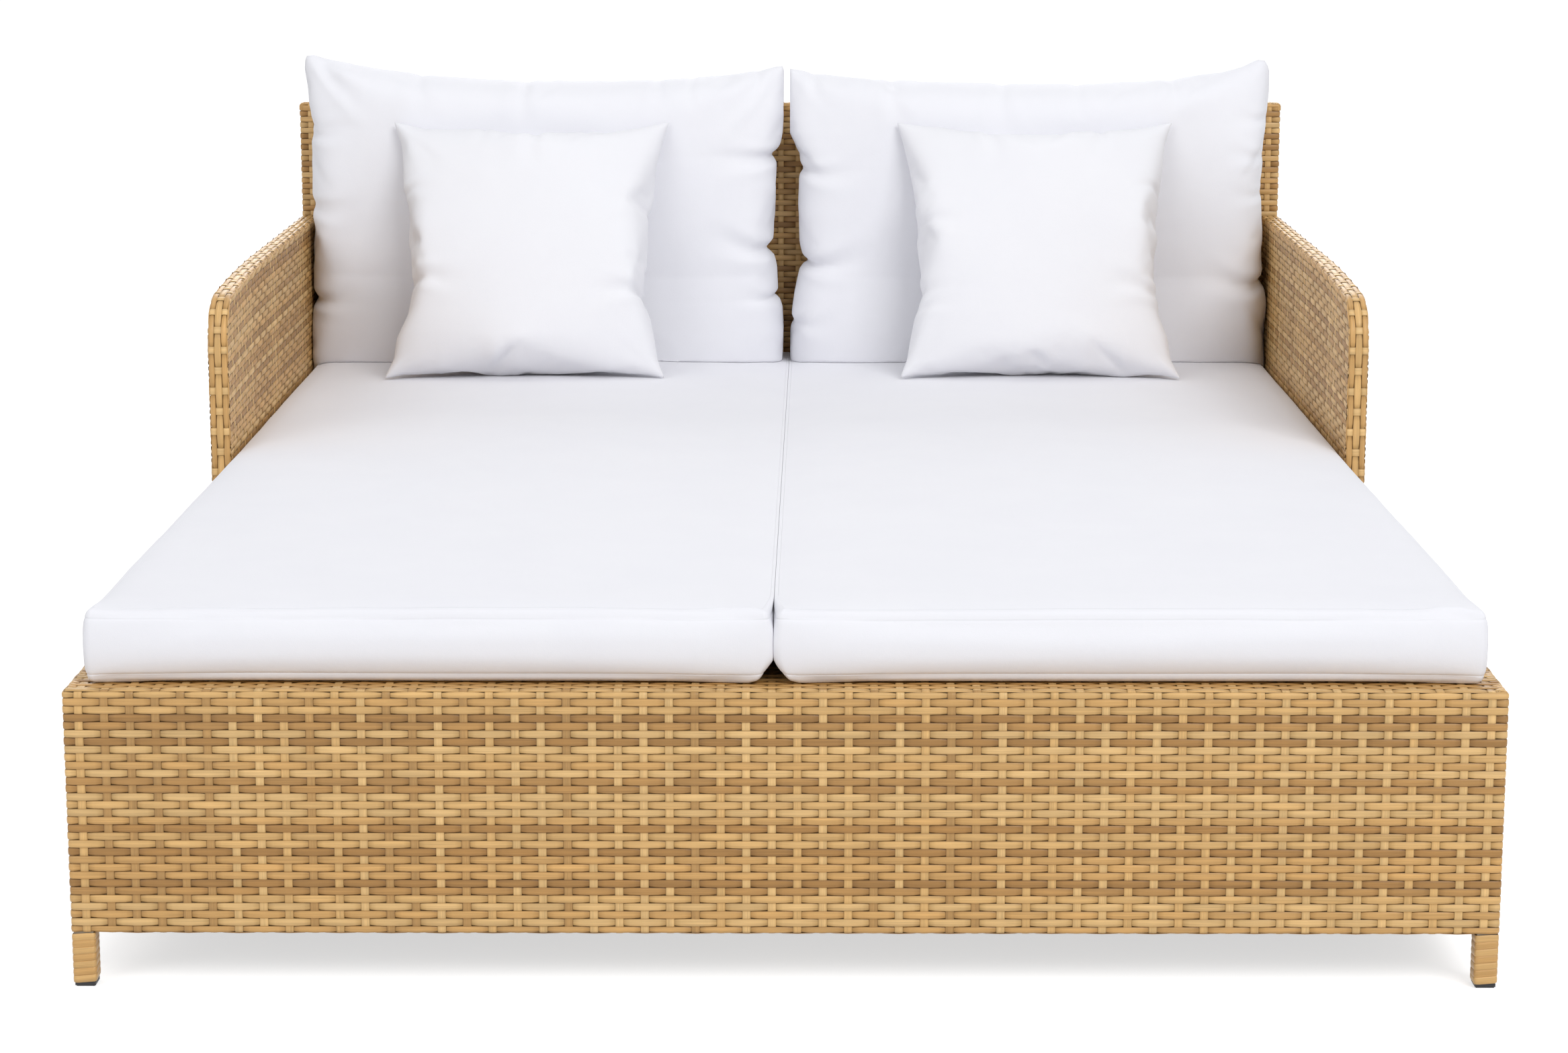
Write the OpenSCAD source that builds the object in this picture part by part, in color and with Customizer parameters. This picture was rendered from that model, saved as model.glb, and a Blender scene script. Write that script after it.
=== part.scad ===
// Outdoor daybed: a woven strand base on a welded tube frame, with two side arms, a backrest,
// two long seat cushions, two back cushions and two throw pillows.
// Frame: +X to the right seen from the front, +Y to the back, +Z up, origin on the ground
// under the centre of the base. All lengths are in millimetres.

/* [Base] */
// Width over the woven sides
base_w = 1600; // [1200:10:2000]
// Depth from the front apron to the rear of the backrest
base_d = 2000; // [1700:10:2300]
// Height of the woven rim above the ground
rim_z = 343; // [280:1:420]
// Clear height under the apron
leg_clear = 62; // [40:1:120]

/* [Frame tubes] */
// Side of the square frame tube
tube = 22; // [18:1:30]
// Wall of every frame tube
tube_wall = 1.5; // [1:0.1:3]
// Width of a deck slat
slat_w = 40; // [25:1:60]
// Height of a deck slat
slat_h = 18; // [12:1:20]
// Largest distance between deck slats, centre to centre
slat_pitch = 165; // [100:5:250]
// Largest distance between the upright stiles of the base
stile_pitch = 520; // [300:10:700]

/* [Weave] */
// Thickness of a woven skin
skin = 3.4; // [2.4:0.1:5]
// Height that a stake or strap stands above the strands between
stake_rise = 0.7; // [0.3:0.1:1.2]
// Width of a stake
stake_w = 9.6; // [6:0.1:12]
// Distance between stakes, centre to centre
stake_pitch = 28.4; // [20:0.1:40]
// Least distance from a panel's end to the middle of its first stake
stake_margin = 16; // [10:1:40]
// Gap between the three strands of an edge
strand_gap = 0.6; // [0.2:0.1:1.5]

/* [Legs and feet] */
// Thickness of the strand wound round a leg
wrap = 2; // [1:0.1:3]
// Number of turns round a leg
wrap_turns = 7; // [5:1:9]
// Depth of the groove between two turns
wrap_groove = 0.9; // [0.3:0.1:1.2]
// Height of a foot below its tube
foot_h = 5; // [3:0.5:10]
// Width of a foot
foot_w = 23; // [18:0.5:30]
// Depth of a foot's plug inside its tube
plug_h = 14; // [8:1:25]
// Clearance round a foot's plug
plug_fit = 0.1; // [0.05:0.05:0.3]

/* [Arms] */
// Distance from the front apron to the front of an arm
arm_setback = 1020; // [700:10:1300]
// Height of an arm above the rim
arm_h = 311; // [220:1:400]
// Radius of an arm's front top corner
arm_corner_r = 66; // [40:1:110]
// Fall of an arm's top towards its front
arm_droop = 16; // [4:1:30]
// Length over which an arm's top falls
arm_droop_len = 400; // [200:10:500]

/* [Backrest] */
// Height of the backrest above the rim
back_h = 494; // [400:1:600]
// Radius of the backrest's top corners, whose tubes meet in a mitre
back_corner_r = 6; // [5:0.5:20]

/* [Bolts] */
// Radius of a frame bolt's shank
bolt_r = 3; // [2.5:0.5:4]
// Clearance round a bolt in the tubes
bolt_fit = 0.4; // [0.2:0.1:0.8]
// Distance across the flats of a bolt's head
head_w = 10; // [8:1:13]
// Height of a bolt's head
head_h = 4; // [3:0.5:6]
// Radius of the flange under a bolt's head
flange_r = 6.5; // [6:0.5:9]
// Thickness of that flange
flange_h = 1.2; // [0.8:0.1:2]
// Length of the threaded insert that a bolt screws into
insert_h = 13; // [9:1:16]
// Outer radius of a threaded insert
insert_r = 4.6; // [4.4:0.1:6]
// Clearance between a bolt and its insert
insert_fit = 0.05; // [0.03:0.01:0.1]

/* [Seat cushions] */
// Thickness of a seat cushion at its edges
seat_h = 84; // [60:1:140]
// Height that a seat cushion swells above its edges
seat_crown = 11; // [4:1:25]
// Radius of a seat cushion's edges
seat_edge_r = 12; // [6:1:28]
// Distance from the front apron to the front of a seat cushion
seat_setback = 27; // [5:1:80]
// Distance that the front edge draws in between its corners
seat_draw = 5; // [0:1:12]
// Distance of the split from the middle at the front, towards the left
seat_split = 13; // [0:1:30]

/* [Back cushions] */
// Height of a back cushion's corners above the rim
back_cushion_h = 574; // [480:1:640]
// Depth of a back cushion at its foot
back_cushion_t = 176; // [120:1:220]
// Dip of the top edge between the corners
back_cushion_dip = 36; // [10:1:60]
// Distance that each side draws in at half height
back_cushion_draw = 20; // [4:1:30]
// Distance that each side tapers in towards the top corners
back_cushion_taper = 1; // [0:1:25]
// Distance that the top edge lies behind the middle of the foot
back_cushion_lean = 18; // [0:1:40]
// Gap between the two back cushions at their feet
back_cushion_gap = 5; // [2:1:20]

/* [Throw pillows] */
// Side of a throw pillow between its corners
pillow_w = 432; // [350:1:500]
// Thickness of a throw pillow
pillow_t = 150; // [90:1:180]
// Distance that each side draws in between the corners
pillow_draw = 27; // [10:1:45]
// Lean of a throw pillow, in degrees from upright
pillow_lean = 25; // [15:1:32]
// Distance from the middle to the middle of the left pillow
pillow_left_x = 405; // [300:1:500]
// Distance from the middle to the middle of the right pillow
pillow_right_x = 384; // [300:1:500]

/* [Hidden] */
$fn = 12;

// One overrun serves every cut.
over = 1;
// Clearance between a soft piece and whatever it lies on or against.
soft_gap = 0.4;
// Half thickness of a cushion's seam.
seam_half = 2;
// Clearance between a throw pillow's points and the back cushion that it leans on. The flat
// faces between the points come closer.
pillow_gap = 2.4;

// Colours of the piece groups.
alu_colour = "silver";
foot_colour = "dimgray";
straw_colour = "burlywood";
strand_colour = "tan";
white_colour = "whitesmoke";
steel_colour = "gray";

// Corners and levels of the base.
half_w = base_w / 2;
half_d = base_d / 2;
rail_top = rim_z - skin;
post_x = half_w - skin - tube;
post_y = half_d - skin - tube;
low_rail_z = leg_clear + skin;
panel_t = 2 * skin + tube;
back_face = half_d - panel_t;

// Size of an arm. Its u axis runs back from its front and its v axis runs up from the rim.
arm_y = arm_setback - half_d;
arm_len = back_face - arm_y;
arm_slope = 2 * arm_droop / arm_droop_len;
arc_steps = 10;
droop_steps = 5;

// Height of an arm's top, its slope in degrees, and the place where the corner meets it.
function arm_fall(u) = arm_droop * pow(max(0, 1 - u / arm_droop_len), 2);
function arm_angle(u) = atan(arm_slope * max(0, 1 - u / arm_droop_len));
arm_join_a = arm_angle(arm_corner_r);
arm_join_u = arm_corner_r * (1 - sin(arm_join_a));
arm_corner_v = arm_h - arm_fall(arm_join_u) - arm_corner_r * cos(arm_join_a);

// Outline of an arm from the foot of its front to the end of its top, moved inwards by inset.
function arm_line(inset) = concat(
    [[inset, 0]],
    [for (k = [0 : arc_steps])
        let (a = 180 - (90 - arm_join_a) * k / arc_steps, r = arm_corner_r - inset)
        [arm_corner_r + r * cos(a), arm_corner_v + r * sin(a)]],
    [for (k = [1 : droop_steps])
        let (u = arm_join_u + (arm_droop_len - arm_join_u) * k / droop_steps, a = arm_angle(u))
        [u + inset * sin(a), arm_h - arm_fall(u) - inset * cos(a)]],
    [[arm_len, arm_h - inset]]
);
function arm_area(inset) = concat(arm_line(inset), [[arm_len, 0]]);

function reversed(list) = [for (k = [len(list) - 1 : -1 : 0]) list[k]];

// Outline of the backrest from its left foot to its right foot, moved inwards by inset. Further
// in than the radius, a corner is square.
back_corner_steps = 4;
function back_corner(inset) =
    let (r = back_corner_r - inset)
    r <= 0 ? [[half_w - inset, back_h - inset]]
        : [for (k = [0 : back_corner_steps])
            let (a = 90 - 90 * k / back_corner_steps)
            [half_w - back_corner_r + r * cos(a), back_h - back_corner_r + r * sin(a)]];
function back_line(inset) = concat(
    [[-half_w + inset, 0]],
    reversed([for (p = back_corner(inset)) [-p[0], p[1]]]),
    back_corner(inset),
    [[half_w - inset, 0]]
);

// A place along a line of points at a distance from its start: [point, angle in degrees].
function steps_of(line) = [for (k = [1 : len(line) - 1]) norm(line[k] - line[k - 1])];
function place_on(line, steps, s, k = 0) =
    s <= steps[k] || k == len(steps) - 1
        ? let (d = line[k + 1] - line[k])
            [line[k] + d * s / steps[k], atan2(d[1], d[0])]
        : place_on(line, steps, s - steps[k], k + 1);
function total(list, k = 0) = k == len(list) ? 0 : list[k] + total(list, k + 1);

// Middles of the stakes across a panel of a given length, evenly about its middle.
function stake_count(length) = floor((length - 2 * stake_margin) / stake_pitch) + 1;
function stake_places(length) =
    let (n = stake_count(length))
    [for (k = [0 : n - 1]) length / 2 + (k - (n - 1) / 2) * stake_pitch];

// Plan of a woven panel: flat inside at zero, with its stakes arched out to skin.
function panel_plan(length) = concat(
    [[0, 0], [0, skin - stake_rise]],
    [for (c = stake_places(length))
        for (p = [
            [c - stake_w / 2, skin - stake_rise], [c, skin], [c + stake_w / 2, skin - stake_rise]
        ]) p],
    [[length, skin - stake_rise], [length, 0]]
);

// A square tube along +X, +Y or +Z from a corner, open at both ends.
module tube_x(length, w = tube, h = tube) {
    difference() {
        cube([length, w, h]);
        translate([-over, tube_wall, tube_wall])
            cube([length + 2 * over, w - 2 * tube_wall, h - 2 * tube_wall]);
    }
}
module tube_y(length) {
    difference() {
        cube([tube, length, tube]);
        translate([tube_wall, -over, tube_wall])
            cube([tube - 2 * tube_wall, length + 2 * over, tube - 2 * tube_wall]);
    }
}
module tube_z(length) {
    difference() {
        cube([tube, tube, length]);
        translate([tube_wall, tube_wall, -over])
            cube([tube - 2 * tube_wall, tube - 2 * tube_wall, length + 2 * over]);
    }
}

// Moves a piece made for the right and rear corner to one of the four corners.
module at_corner(side, end) {
    mirror([side < 0 ? 1 : 0, 0, 0]) mirror([0, end < 0 ? 1 : 0, 0]) children();
}

// Legs. Each one runs from its foot to the underside of the deck weave.
module leg(side, end) {
    color(alu_colour) at_corner(side, end)
        translate([post_x, post_y, foot_h]) tube_z(rail_top - foot_h);
}

// Feet: a glide with a chamfered edge below the tube and a plug that fills the tube's end.
foot_chamfer = 1.2;
module foot(side, end) {
    plug = tube - 2 * tube_wall - 2 * plug_fit;
    color(foot_colour) at_corner(side, end)
        translate([post_x + tube / 2, post_y + tube / 2, 0]) {
            translate([-foot_w / 2 + foot_chamfer, -foot_w / 2 + foot_chamfer, 0])
                cube([foot_w - 2 * foot_chamfer, foot_w - 2 * foot_chamfer, foot_h]);
            translate([-foot_w / 2, -foot_w / 2, foot_chamfer])
                cube([foot_w, foot_w, foot_h - foot_chamfer]);
            translate([-plug / 2, -plug / 2, 0]) cube([plug, plug, foot_h + plug_h]);
        }
}

// Strand wound round a leg: square turns with a rounded face, one above the other.
// The shares say where the full thickness of a turn begins and ends.
turn_shares = [0.18, 0.82];
module leg_wrap(side, end) {
    turn = (leg_clear - foot_h) / wrap_turns;
    inner = tube / 2;
    outer = inner + wrap;
    // A ring of four segments has its corners, not its faces, at its radius.
    corner = sqrt(2);
    color(straw_colour) at_corner(side, end)
        translate([post_x + tube / 2, post_y + tube / 2, foot_h]) rotate([0, 0, 45])
            rotate_extrude($fn = 4) scale([corner, 1]) polygon(concat(
                [[inner, 0]],
                [for (k = [0 : wrap_turns - 1])
                    for (p = [
                        [outer - wrap_groove, k],
                        [outer, k + turn_shares[0]],
                        [outer, k + turn_shares[1]]
                    ]) [p[0], p[1] * turn]],
                [[outer - wrap_groove, wrap_turns * turn], [inner, wrap_turns * turn]]
            ));
}

// Rails of the base, butted against the legs.
module rail_across(end, z) {
    color(alu_colour) at_corner(1, end) translate([-post_x, post_y, z]) tube_x(2 * post_x);
}
module rail_along(side, z) {
    color(alu_colour) at_corner(side, 1) translate([post_x, -post_y, z]) tube_y(2 * post_y);
}
module top_rail_across(end) {
    color(alu_colour) difference() {
        rail_across(end, rail_top - tube);
        if (end > 0) back_bolt_holes();
    }
}
module top_rail_along(side) {
    color(alu_colour) difference() {
        rail_along(side, rail_top - tube);
        arm_bolt_holes(side);
    }
}

// Beams under the middle of the deck, from the front rails to the rear rails.
module centre_beam(z) {
    color(alu_colour) translate([-tube / 2, -post_y, z]) tube_y(2 * post_y);
}

// Uprights between the bottom and the top rails, on all four sides and under the middle.
function parts_of(length, pitch) = ceil(length / pitch);
bays_x = parts_of(base_w, stile_pitch);
bays_y = parts_of(base_d, stile_pitch);
module base_stiles() {
    z = low_rail_z + tube;
    h = rail_top - tube - z;
    color(alu_colour) {
        for (end = [-1, 1], k = [1 : bays_x - 1])
            at_corner(1, end)
                translate([-half_w + base_w * k / bays_x - tube / 2, post_y, z]) tube_z(h);
        for (side = [-1, 1], k = [1 : bays_y - 1])
            at_corner(side, 1)
                translate([post_x, -half_d + base_d * k / bays_y - tube / 2, z]) tube_z(h);
        for (k = [1 : bays_y - 1])
            translate([-tube / 2, -half_d + base_d * k / bays_y - tube / 2, z]) tube_z(h);
    }
}

// Slats from the side rails to the middle beam, flush with the tops of both.
module deck_slats() {
    bays = parts_of(2 * post_y, slat_pitch);
    color(alu_colour)
        for (side = [-1, 1], k = [1 : bays - 1])
            at_corner(side, 1)
                translate([tube / 2, -post_y + 2 * post_y * k / bays - slat_w / 2, rail_top - slat_h])
                    tube_x(post_x - tube / 2, slat_w, slat_h);
}

// Woven aprons. Each one covers its side and turns in under the bottom rail.
module apron_panel(length, z0, z1) {
    translate([-length / 2, 0, z0]) linear_extrude(z1 - z0) polygon(panel_plan(length));
}
module leg_holes() {
    for (side = [-1, 1], end = [-1, 1])
        at_corner(side, end)
            translate([post_x, post_y, leg_clear - over]) cube([tube, tube, skin + 2 * over]);
}
module apron_across(end) {
    color(strand_colour) difference() {
        at_corner(1, end) {
            translate([0, half_d - skin, 0]) apron_panel(base_w, leg_clear, rail_top);
            translate([-half_w + skin, post_y, leg_clear])
                cube([base_w - 2 * skin, tube + stake_rise, skin]);
        }
        leg_holes();
    }
}
module apron_along(side) {
    length = base_d - 2 * skin;
    color(strand_colour) difference() {
        at_corner(side, 1) {
            translate([half_w - skin, 0, 0]) rotate([0, 0, -90])
                apron_panel(length, leg_clear, rail_top);
            translate([post_x, -post_y, leg_clear]) cube([tube + stake_rise, 2 * post_y, skin]);
        }
        leg_holes();
    }
}

// Woven deck over the rails and slats. Its edge is the rim that shows round the cushions.
module deck_weave() {
    color(straw_colour) difference() {
        translate([-half_w, -half_d, rail_top]) cube([base_w, base_d, skin]);
        arm_bolt_holes(-1);
        arm_bolt_holes(1);
        back_bolt_holes();
    }
}

// Turns an arm's u and v axes to the side of the base. The x axis of the drawing's thickness
// starts at the inner face of the arm and ends at its outer face.
module arm_place(side) {
    mirror([side < 0 ? 1 : 0, 0, 0])
        translate([half_w - panel_t, arm_y, rim_z])
            multmatrix([[0, 0, 1, 0], [1, 0, 0, 0], [0, 1, 0, 0], [0, 0, 0, 1]])
                children();
}

// Bent tube of an arm: front post, rounded corner and top rail in one.
module arm_hoop(side) {
    color(alu_colour) arm_place(side) difference() {
        translate([0, 0, skin]) linear_extrude(tube)
            polygon(concat(arm_line(skin), reversed(arm_line(skin + tube))));
        translate([0, 0, skin + tube_wall]) linear_extrude(tube - 2 * tube_wall)
            polygon(concat(
                [[skin + tube_wall, -over]], arm_line(skin + tube_wall),
                [[arm_len + over, arm_h - skin - tube_wall]],
                [[arm_len + over, arm_h - skin - tube + tube_wall]],
                reversed(arm_line(skin + tube - tube_wall)), [[skin + tube - tube_wall, -over]]
            ));
    }
}
module arm_bottom_rail(side) {
    color(alu_colour) difference() {
        arm_place(side) translate([skin + tube, 0, skin])
            tube_x(arm_len - skin - 2 * tube);
        insert_holes(arm_bolt_spots(side));
    }
}
// Rear post and inner uprights of an arm, cut to the underside of the top rail.
arm_bays = 3;
module arm_stiles(side) {
    color(alu_colour) arm_place(side) {
        intersection() {
            for (k = [1 : arm_bays - 1])
                translate([arm_len * k / arm_bays - tube / 2, tube, skin + tube])
                    rotate([-90, 0, 0]) tube_z(arm_h);
            translate([0, 0, skin - over]) linear_extrude(tube + 2 * over) polygon(arm_area(skin + tube));
        }
        translate([arm_len - tube, 0, skin + tube]) rotate([-90, 0, 0])
            tube_z(arm_h - skin - tube);
    }
}

// Woven faces of an arm: stakes stand out from the face and run up to the edge strands.
module arm_face() {
    intersection() {
        linear_extrude(skin) polygon(arm_area(skin));
        translate([0, arm_h, 0]) rotate([90, 0, 0]) linear_extrude(arm_h)
            polygon(panel_plan(arm_len));
    }
}
module arm_outer_weave(side) {
    color(strand_colour) arm_place(side) translate([0, 0, skin + tube]) arm_face();
}
module arm_inner_weave(side) {
    color(strand_colour) arm_place(side)
        translate([0, 0, skin]) mirror([0, 0, 1]) arm_face();
}

// Edge of a panel: three strands side by side along its outline, tied down by straps that
// pass over the middle strand and over the outer two in turn. The straps lie evenly about the
// middle of a length.
function strap_spots(start, length) =
    let (n = floor((length - 2 * stake_margin) / stake_pitch))
    [for (k = [0 : n]) start + length / 2 + (k - n / 2) * stake_pitch];

// A strand's outer line with a rise at each of its straps. A bend of the line that lies under a
// strap, or closer to one than the gap between two strands, is left out.
function risen(place) = place[0] + stake_rise * [-sin(place[1]), cos(place[1])];
function strapped(line, spots) =
    let (
        steps = steps_of(line),
        reach = stake_w / 2 + strand_gap,
        bends = [for (k = 0, s = 0; k < len(line); s = s + (k < len(steps) ? steps[k] : 0), k = k + 1)
            [s, line[k]]]
    )
    [for (k = [0 : len(spots)])
        let (
            from = k == 0 ? -over : spots[k - 1] + reach,
            to = k == len(spots) ? total(steps) + over : spots[k] - reach
        )
        each concat(
            [for (bend = bends) if (bend[0] > from && bend[0] < to) bend[1]],
            k == len(spots) ? []
                : [
                    place_on(line, steps, spots[k] - stake_w / 2)[0],
                    risen(place_on(line, steps, spots[k])),
                    place_on(line, steps, spots[k] + stake_w / 2)[0]
                ]
        )];
module edge_strands(outer, under, inner, spots) {
    strand = (panel_t - 2 * strand_gap) / 3;
    linear_extrude(panel_t) polygon(concat(under, reversed(inner)));
    for (j = [0 : 2])
        translate([0, 0, j * (strand + strand_gap)]) linear_extrude(strand)
            polygon(concat(
                strapped(outer, [for (k = [0 : len(spots) - 1]) if ((k + j) % 2 == 1) spots[k]]),
                reversed(inner)
            ));
}
module arm_edge(side) {
    line = arm_line(stake_rise);
    color(straw_colour) arm_place(side)
        edge_strands(line, arm_line(skin / 2), arm_line(skin),
            strap_spots(0, total(steps_of(line))));
}

// Turns the backrest's drawing upright. Its thickness starts at its front face.
module back_place() {
    translate([0, back_face, rim_z]) rotate([90, 0, 0]) mirror([0, 0, 1]) children();
}
module back_hoop() {
    color(alu_colour) back_place() difference() {
        translate([0, 0, skin]) linear_extrude(tube)
            polygon(concat(back_line(skin), reversed(back_line(skin + tube))));
        translate([0, 0, skin + tube_wall]) linear_extrude(tube - 2 * tube_wall)
            polygon(concat(
                [[-half_w + skin + tube_wall, -over]], back_line(skin + tube_wall),
                [[half_w - skin - tube_wall, -over]],
                [[half_w - skin - tube + tube_wall, -over]],
                reversed(back_line(skin + tube - tube_wall)),
                [[-half_w + skin + tube - tube_wall, -over]]
            ));
    }
}
module back_bottom_rail() {
    color(alu_colour) difference() {
        back_place() translate([-post_x, 0, skin]) tube_x(2 * post_x);
        insert_holes(back_bolt_spots());
    }
}
module back_stiles() {
    bays = parts_of(base_w, stile_pitch);
    color(alu_colour) back_place()
        for (k = [1 : bays - 1])
            translate([-half_w + base_w * k / bays - tube / 2, tube, skin + tube])
                rotate([-90, 0, 0]) tube_z(back_h - skin - 2 * tube);
}
module back_panel() {
    intersection() {
        linear_extrude(skin) polygon(back_line(skin));
        translate([-half_w, back_h, 0]) rotate([90, 0, 0]) linear_extrude(back_h)
            polygon(panel_plan(base_w));
    }
}
module back_rear_weave() {
    color(strand_colour) back_place() translate([0, 0, skin + tube]) back_panel();
}
module back_front_weave() {
    color(strand_colour) back_place() translate([0, 0, skin]) mirror([0, 0, 1]) back_panel();
}
// The backrest's straps lie along its top.
module back_edge() {
    start = back_h - back_corner_r + total(steps_of(back_corner(stake_rise)));
    color(straw_colour) back_place()
        edge_strands(back_line(stake_rise), back_line(skin / 2), back_line(skin),
            strap_spots(start, 2 * (half_w - back_corner_r)));
}

// Bolts hold the arms and the backrest down on the base. Each passes up through a top rail
// and the deck weave into a threaded insert in the lowest rail of the arm or the backrest.
// They stand midway between the stiles of the base.
function bay_middles(length, bays) =
    [for (k = [0 : bays - 1]) length * ((k + 1 / 2) / bays - 1 / 2)];
function arm_bolt_spots(side) =
    [for (y = bay_middles(base_d, bays_y))
        if (y > arm_y + skin + 2 * tube && y < back_face - 2 * tube)
            [side * (post_x + tube / 2), y]];
function back_bolt_spots() = [for (x = bay_middles(base_w, bays_x)) [x, post_y + tube / 2]];
module holes_at(spots, r, z0, z1) {
    for (p = spots) translate([p[0], p[1], z0]) cylinder(r = r, h = z1 - z0);
}
module arm_bolt_holes(side) {
    holes_at(arm_bolt_spots(side), bolt_r + bolt_fit, rail_top - tube - over, rim_z + over);
}
module back_bolt_holes() {
    holes_at(back_bolt_spots(), bolt_r + bolt_fit, rail_top - tube - over, rim_z + over);
}
module insert_holes(spots) {
    holes_at(spots, insert_r, rim_z - over, rim_z + tube_wall + over);
}
module bolts_at(spots) {
    z = rail_top - tube;
    for (p = spots) translate([p[0], p[1], z]) {
        translate([0, 0, -flange_h]) cylinder(r = flange_r, h = flange_h);
        translate([0, 0, -flange_h - head_h]) cylinder(d = head_w / cos(30), h = head_h, $fn = 6);
        translate([0, 0, -flange_h]) cylinder(r = bolt_r, h = flange_h + tube + skin + insert_h);
    }
}
module arm_bolts() {
    color(steel_colour) {
        bolts_at(arm_bolt_spots(-1));
        bolts_at(arm_bolt_spots(1));
    }
}
module back_bolts() {
    color(steel_colour) bolts_at(back_bolt_spots());
}
module threaded_inserts() {
    color(steel_colour)
        for (p = concat(arm_bolt_spots(-1), arm_bolt_spots(1), back_bolt_spots()))
            translate([p[0], p[1], rim_z]) difference() {
                cylinder(r = insert_r, h = insert_h);
                translate([0, 0, -over])
                    cylinder(r = bolt_r + insert_fit, h = insert_h + 2 * over);
            }
}

// A padded form between two sheets of points of the same size, closed round its border. Seen
// from outside the front sheet, its rows run upwards and the points of a row to the right.
function joined(rows) = [for (row = rows) for (p = row) p];
module padded(front, rear) {
    n = len(front) - 1;
    m = len(front[0]) - 1;
    size = (n + 1) * (m + 1);
    border = concat(
        [for (j = [0 : m - 1]) j],
        [for (i = [0 : n - 1]) i * (m + 1) + m],
        [for (j = [m : -1 : 1]) n * (m + 1) + j],
        [for (i = [n : -1 : 1]) i * (m + 1)]
    );
    cells = [for (i = [0 : n - 1], j = [0 : m - 1]) i * (m + 1) + j];
    polyhedron(joined(concat(front, rear)), concat(
        [for (a = cells) for (f = [[a, a + m + 1, a + 1], [a + 1, a + m + 1, a + m + 2]]) f],
        [for (a = cells)
            for (f = [
                [a + size, a + size + 1, a + size + m + 1],
                [a + size + 1, a + size + m + 2, a + size + m + 1]
            ]) f],
        [for (k = [0 : len(border) - 1])
            let (a = border[k], b = border[(k + 1) % len(border)])
            for (f = [[a, b, b + size], [a, b + size, a + size]]) f]
    ));
}

// Places across a length with rounded edges: [distance from the low edge, share of the rise].
edge_steps = 2;
function rounded_places(length, r, n) = concat(
    [for (k = [0 : edge_steps])
        let (a = 90 * k / edge_steps) [r * (1 - cos(a)), sin(a)]],
    [for (k = [1 : n - 1]) [r + (length - 2 * r) * k / n, 1]],
    [for (k = [edge_steps : -1 : 0])
        let (a = 90 * k / edge_steps) [length - r * (1 - cos(a)), sin(a)]]
);
// Shares from -1 to 1 that lie closer together towards both ends.
function edge_close_shares(n) = [for (k = [0 : n]) -cos(180 * k / n)];

// Seat cushions. They lie side by side on the deck, from the front to the backrest, and the
// line where they meet runs slightly aslant. Each is crowned and has rounded edges.
seat_cells_across = 6;
seat_cells_along = 9;
seat_end_power = 8;
seat_x = half_w - panel_t - soft_gap;
seat_front = -half_d + seat_setback;
seat_back = back_face - soft_gap;
seat_len = seat_back - seat_front;
seat_z = rim_z + soft_gap;
function split_x(y) = -seat_split * (seat_back - y) / seat_len;
function seat_low_x(side, y) = side < 0 ? -seat_x : split_x(y) + soft_gap / 2;
function seat_high_x(side, y) = side < 0 ? split_x(y) - soft_gap / 2 : seat_x;
function seat_swell(s, q) =
    seat_crown * (1 - pow(2 * s - 1, 2)) * (1 - pow(1 - q, seat_end_power));
function seat_top(side, x, y) =
    let (x0 = seat_low_x(side, y), x1 = seat_high_x(side, y))
    seat_z + seat_h + seat_swell((x - x0) / (x1 - x0), (y - seat_front) / seat_len);
function seat_sheet(side, top) =
    [for (along = rounded_places(seat_len, seat_edge_r, seat_cells_along))
        let (
            y = seat_front + along[0],
            q = along[0] / seat_len,
            x0 = seat_low_x(side, y),
            w = seat_high_x(side, y) - x0
        )
        [for (across = rounded_places(w, seat_edge_r, seat_cells_across))
            let (
                s = across[0] / w,
                edge = seat_edge_r * (1 - along[1] * across[1]),
                draw = seat_draw * (1 - pow(2 * s - 1, 2)) * pow(1 - q, seat_end_power)
            )
            [x0 + across[0], y + draw, top
                ? seat_z + seat_h - edge + seat_swell(s, q)
                : seat_z + edge]]];
module seat_cushion(side) {
    color(white_colour) padded(seat_sheet(side, true), seat_sheet(side, false));
}

// Back cushions. Each stands on a seat cushion with its rear flat against the backrest, swells
// to the front, and thins to a seam at its sides and along its dipped top edge.
back_cells_across = 12;
back_cells_up = 8;
foot_edge_r = 26;
foot_steps = 2;
foot_power = 10;
waist_power = 3;
side_power = 0.6;
rise_power = 3;
top_power = 0.7;
back_half_w = (seat_x - back_cushion_gap / 2) / 2;
back_mid_x = (seat_x + back_cushion_gap / 2) / 2;
back_mid_y = back_face - soft_gap - back_cushion_t / 2;
back_top_z = rim_z + back_cushion_h;
function back_half(t) = back_half_w - back_cushion_draw * sin(180 * t) - back_cushion_taper * t;
function back_top(s) = back_top_z - back_cushion_dip * (1 - s * s);
function back_foot(side, x) = seat_top(side, x, back_mid_y) + soft_gap;
function back_seam_y(t) = back_mid_y + back_cushion_lean * t;
function back_swell(s, t) =
    let (power = foot_power - (foot_power - waist_power) * min(1, 2 * t))
    back_cushion_t / 2 * pow(1 - pow(min(1, abs(s)), power), side_power)
        * pow(1 - pow(t, rise_power), top_power);
function back_rows() = concat(
    [for (k = [0 : foot_steps])
        let (a = 90 * k / foot_steps) [0, foot_edge_r * (1 - cos(a)), foot_edge_r * (1 - sin(a))]],
    [for (k = [1 : back_cells_up])
        let (t = sin(90 * k / back_cells_up)) [t, foot_edge_r * (1 - t), 0]]
);
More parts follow.
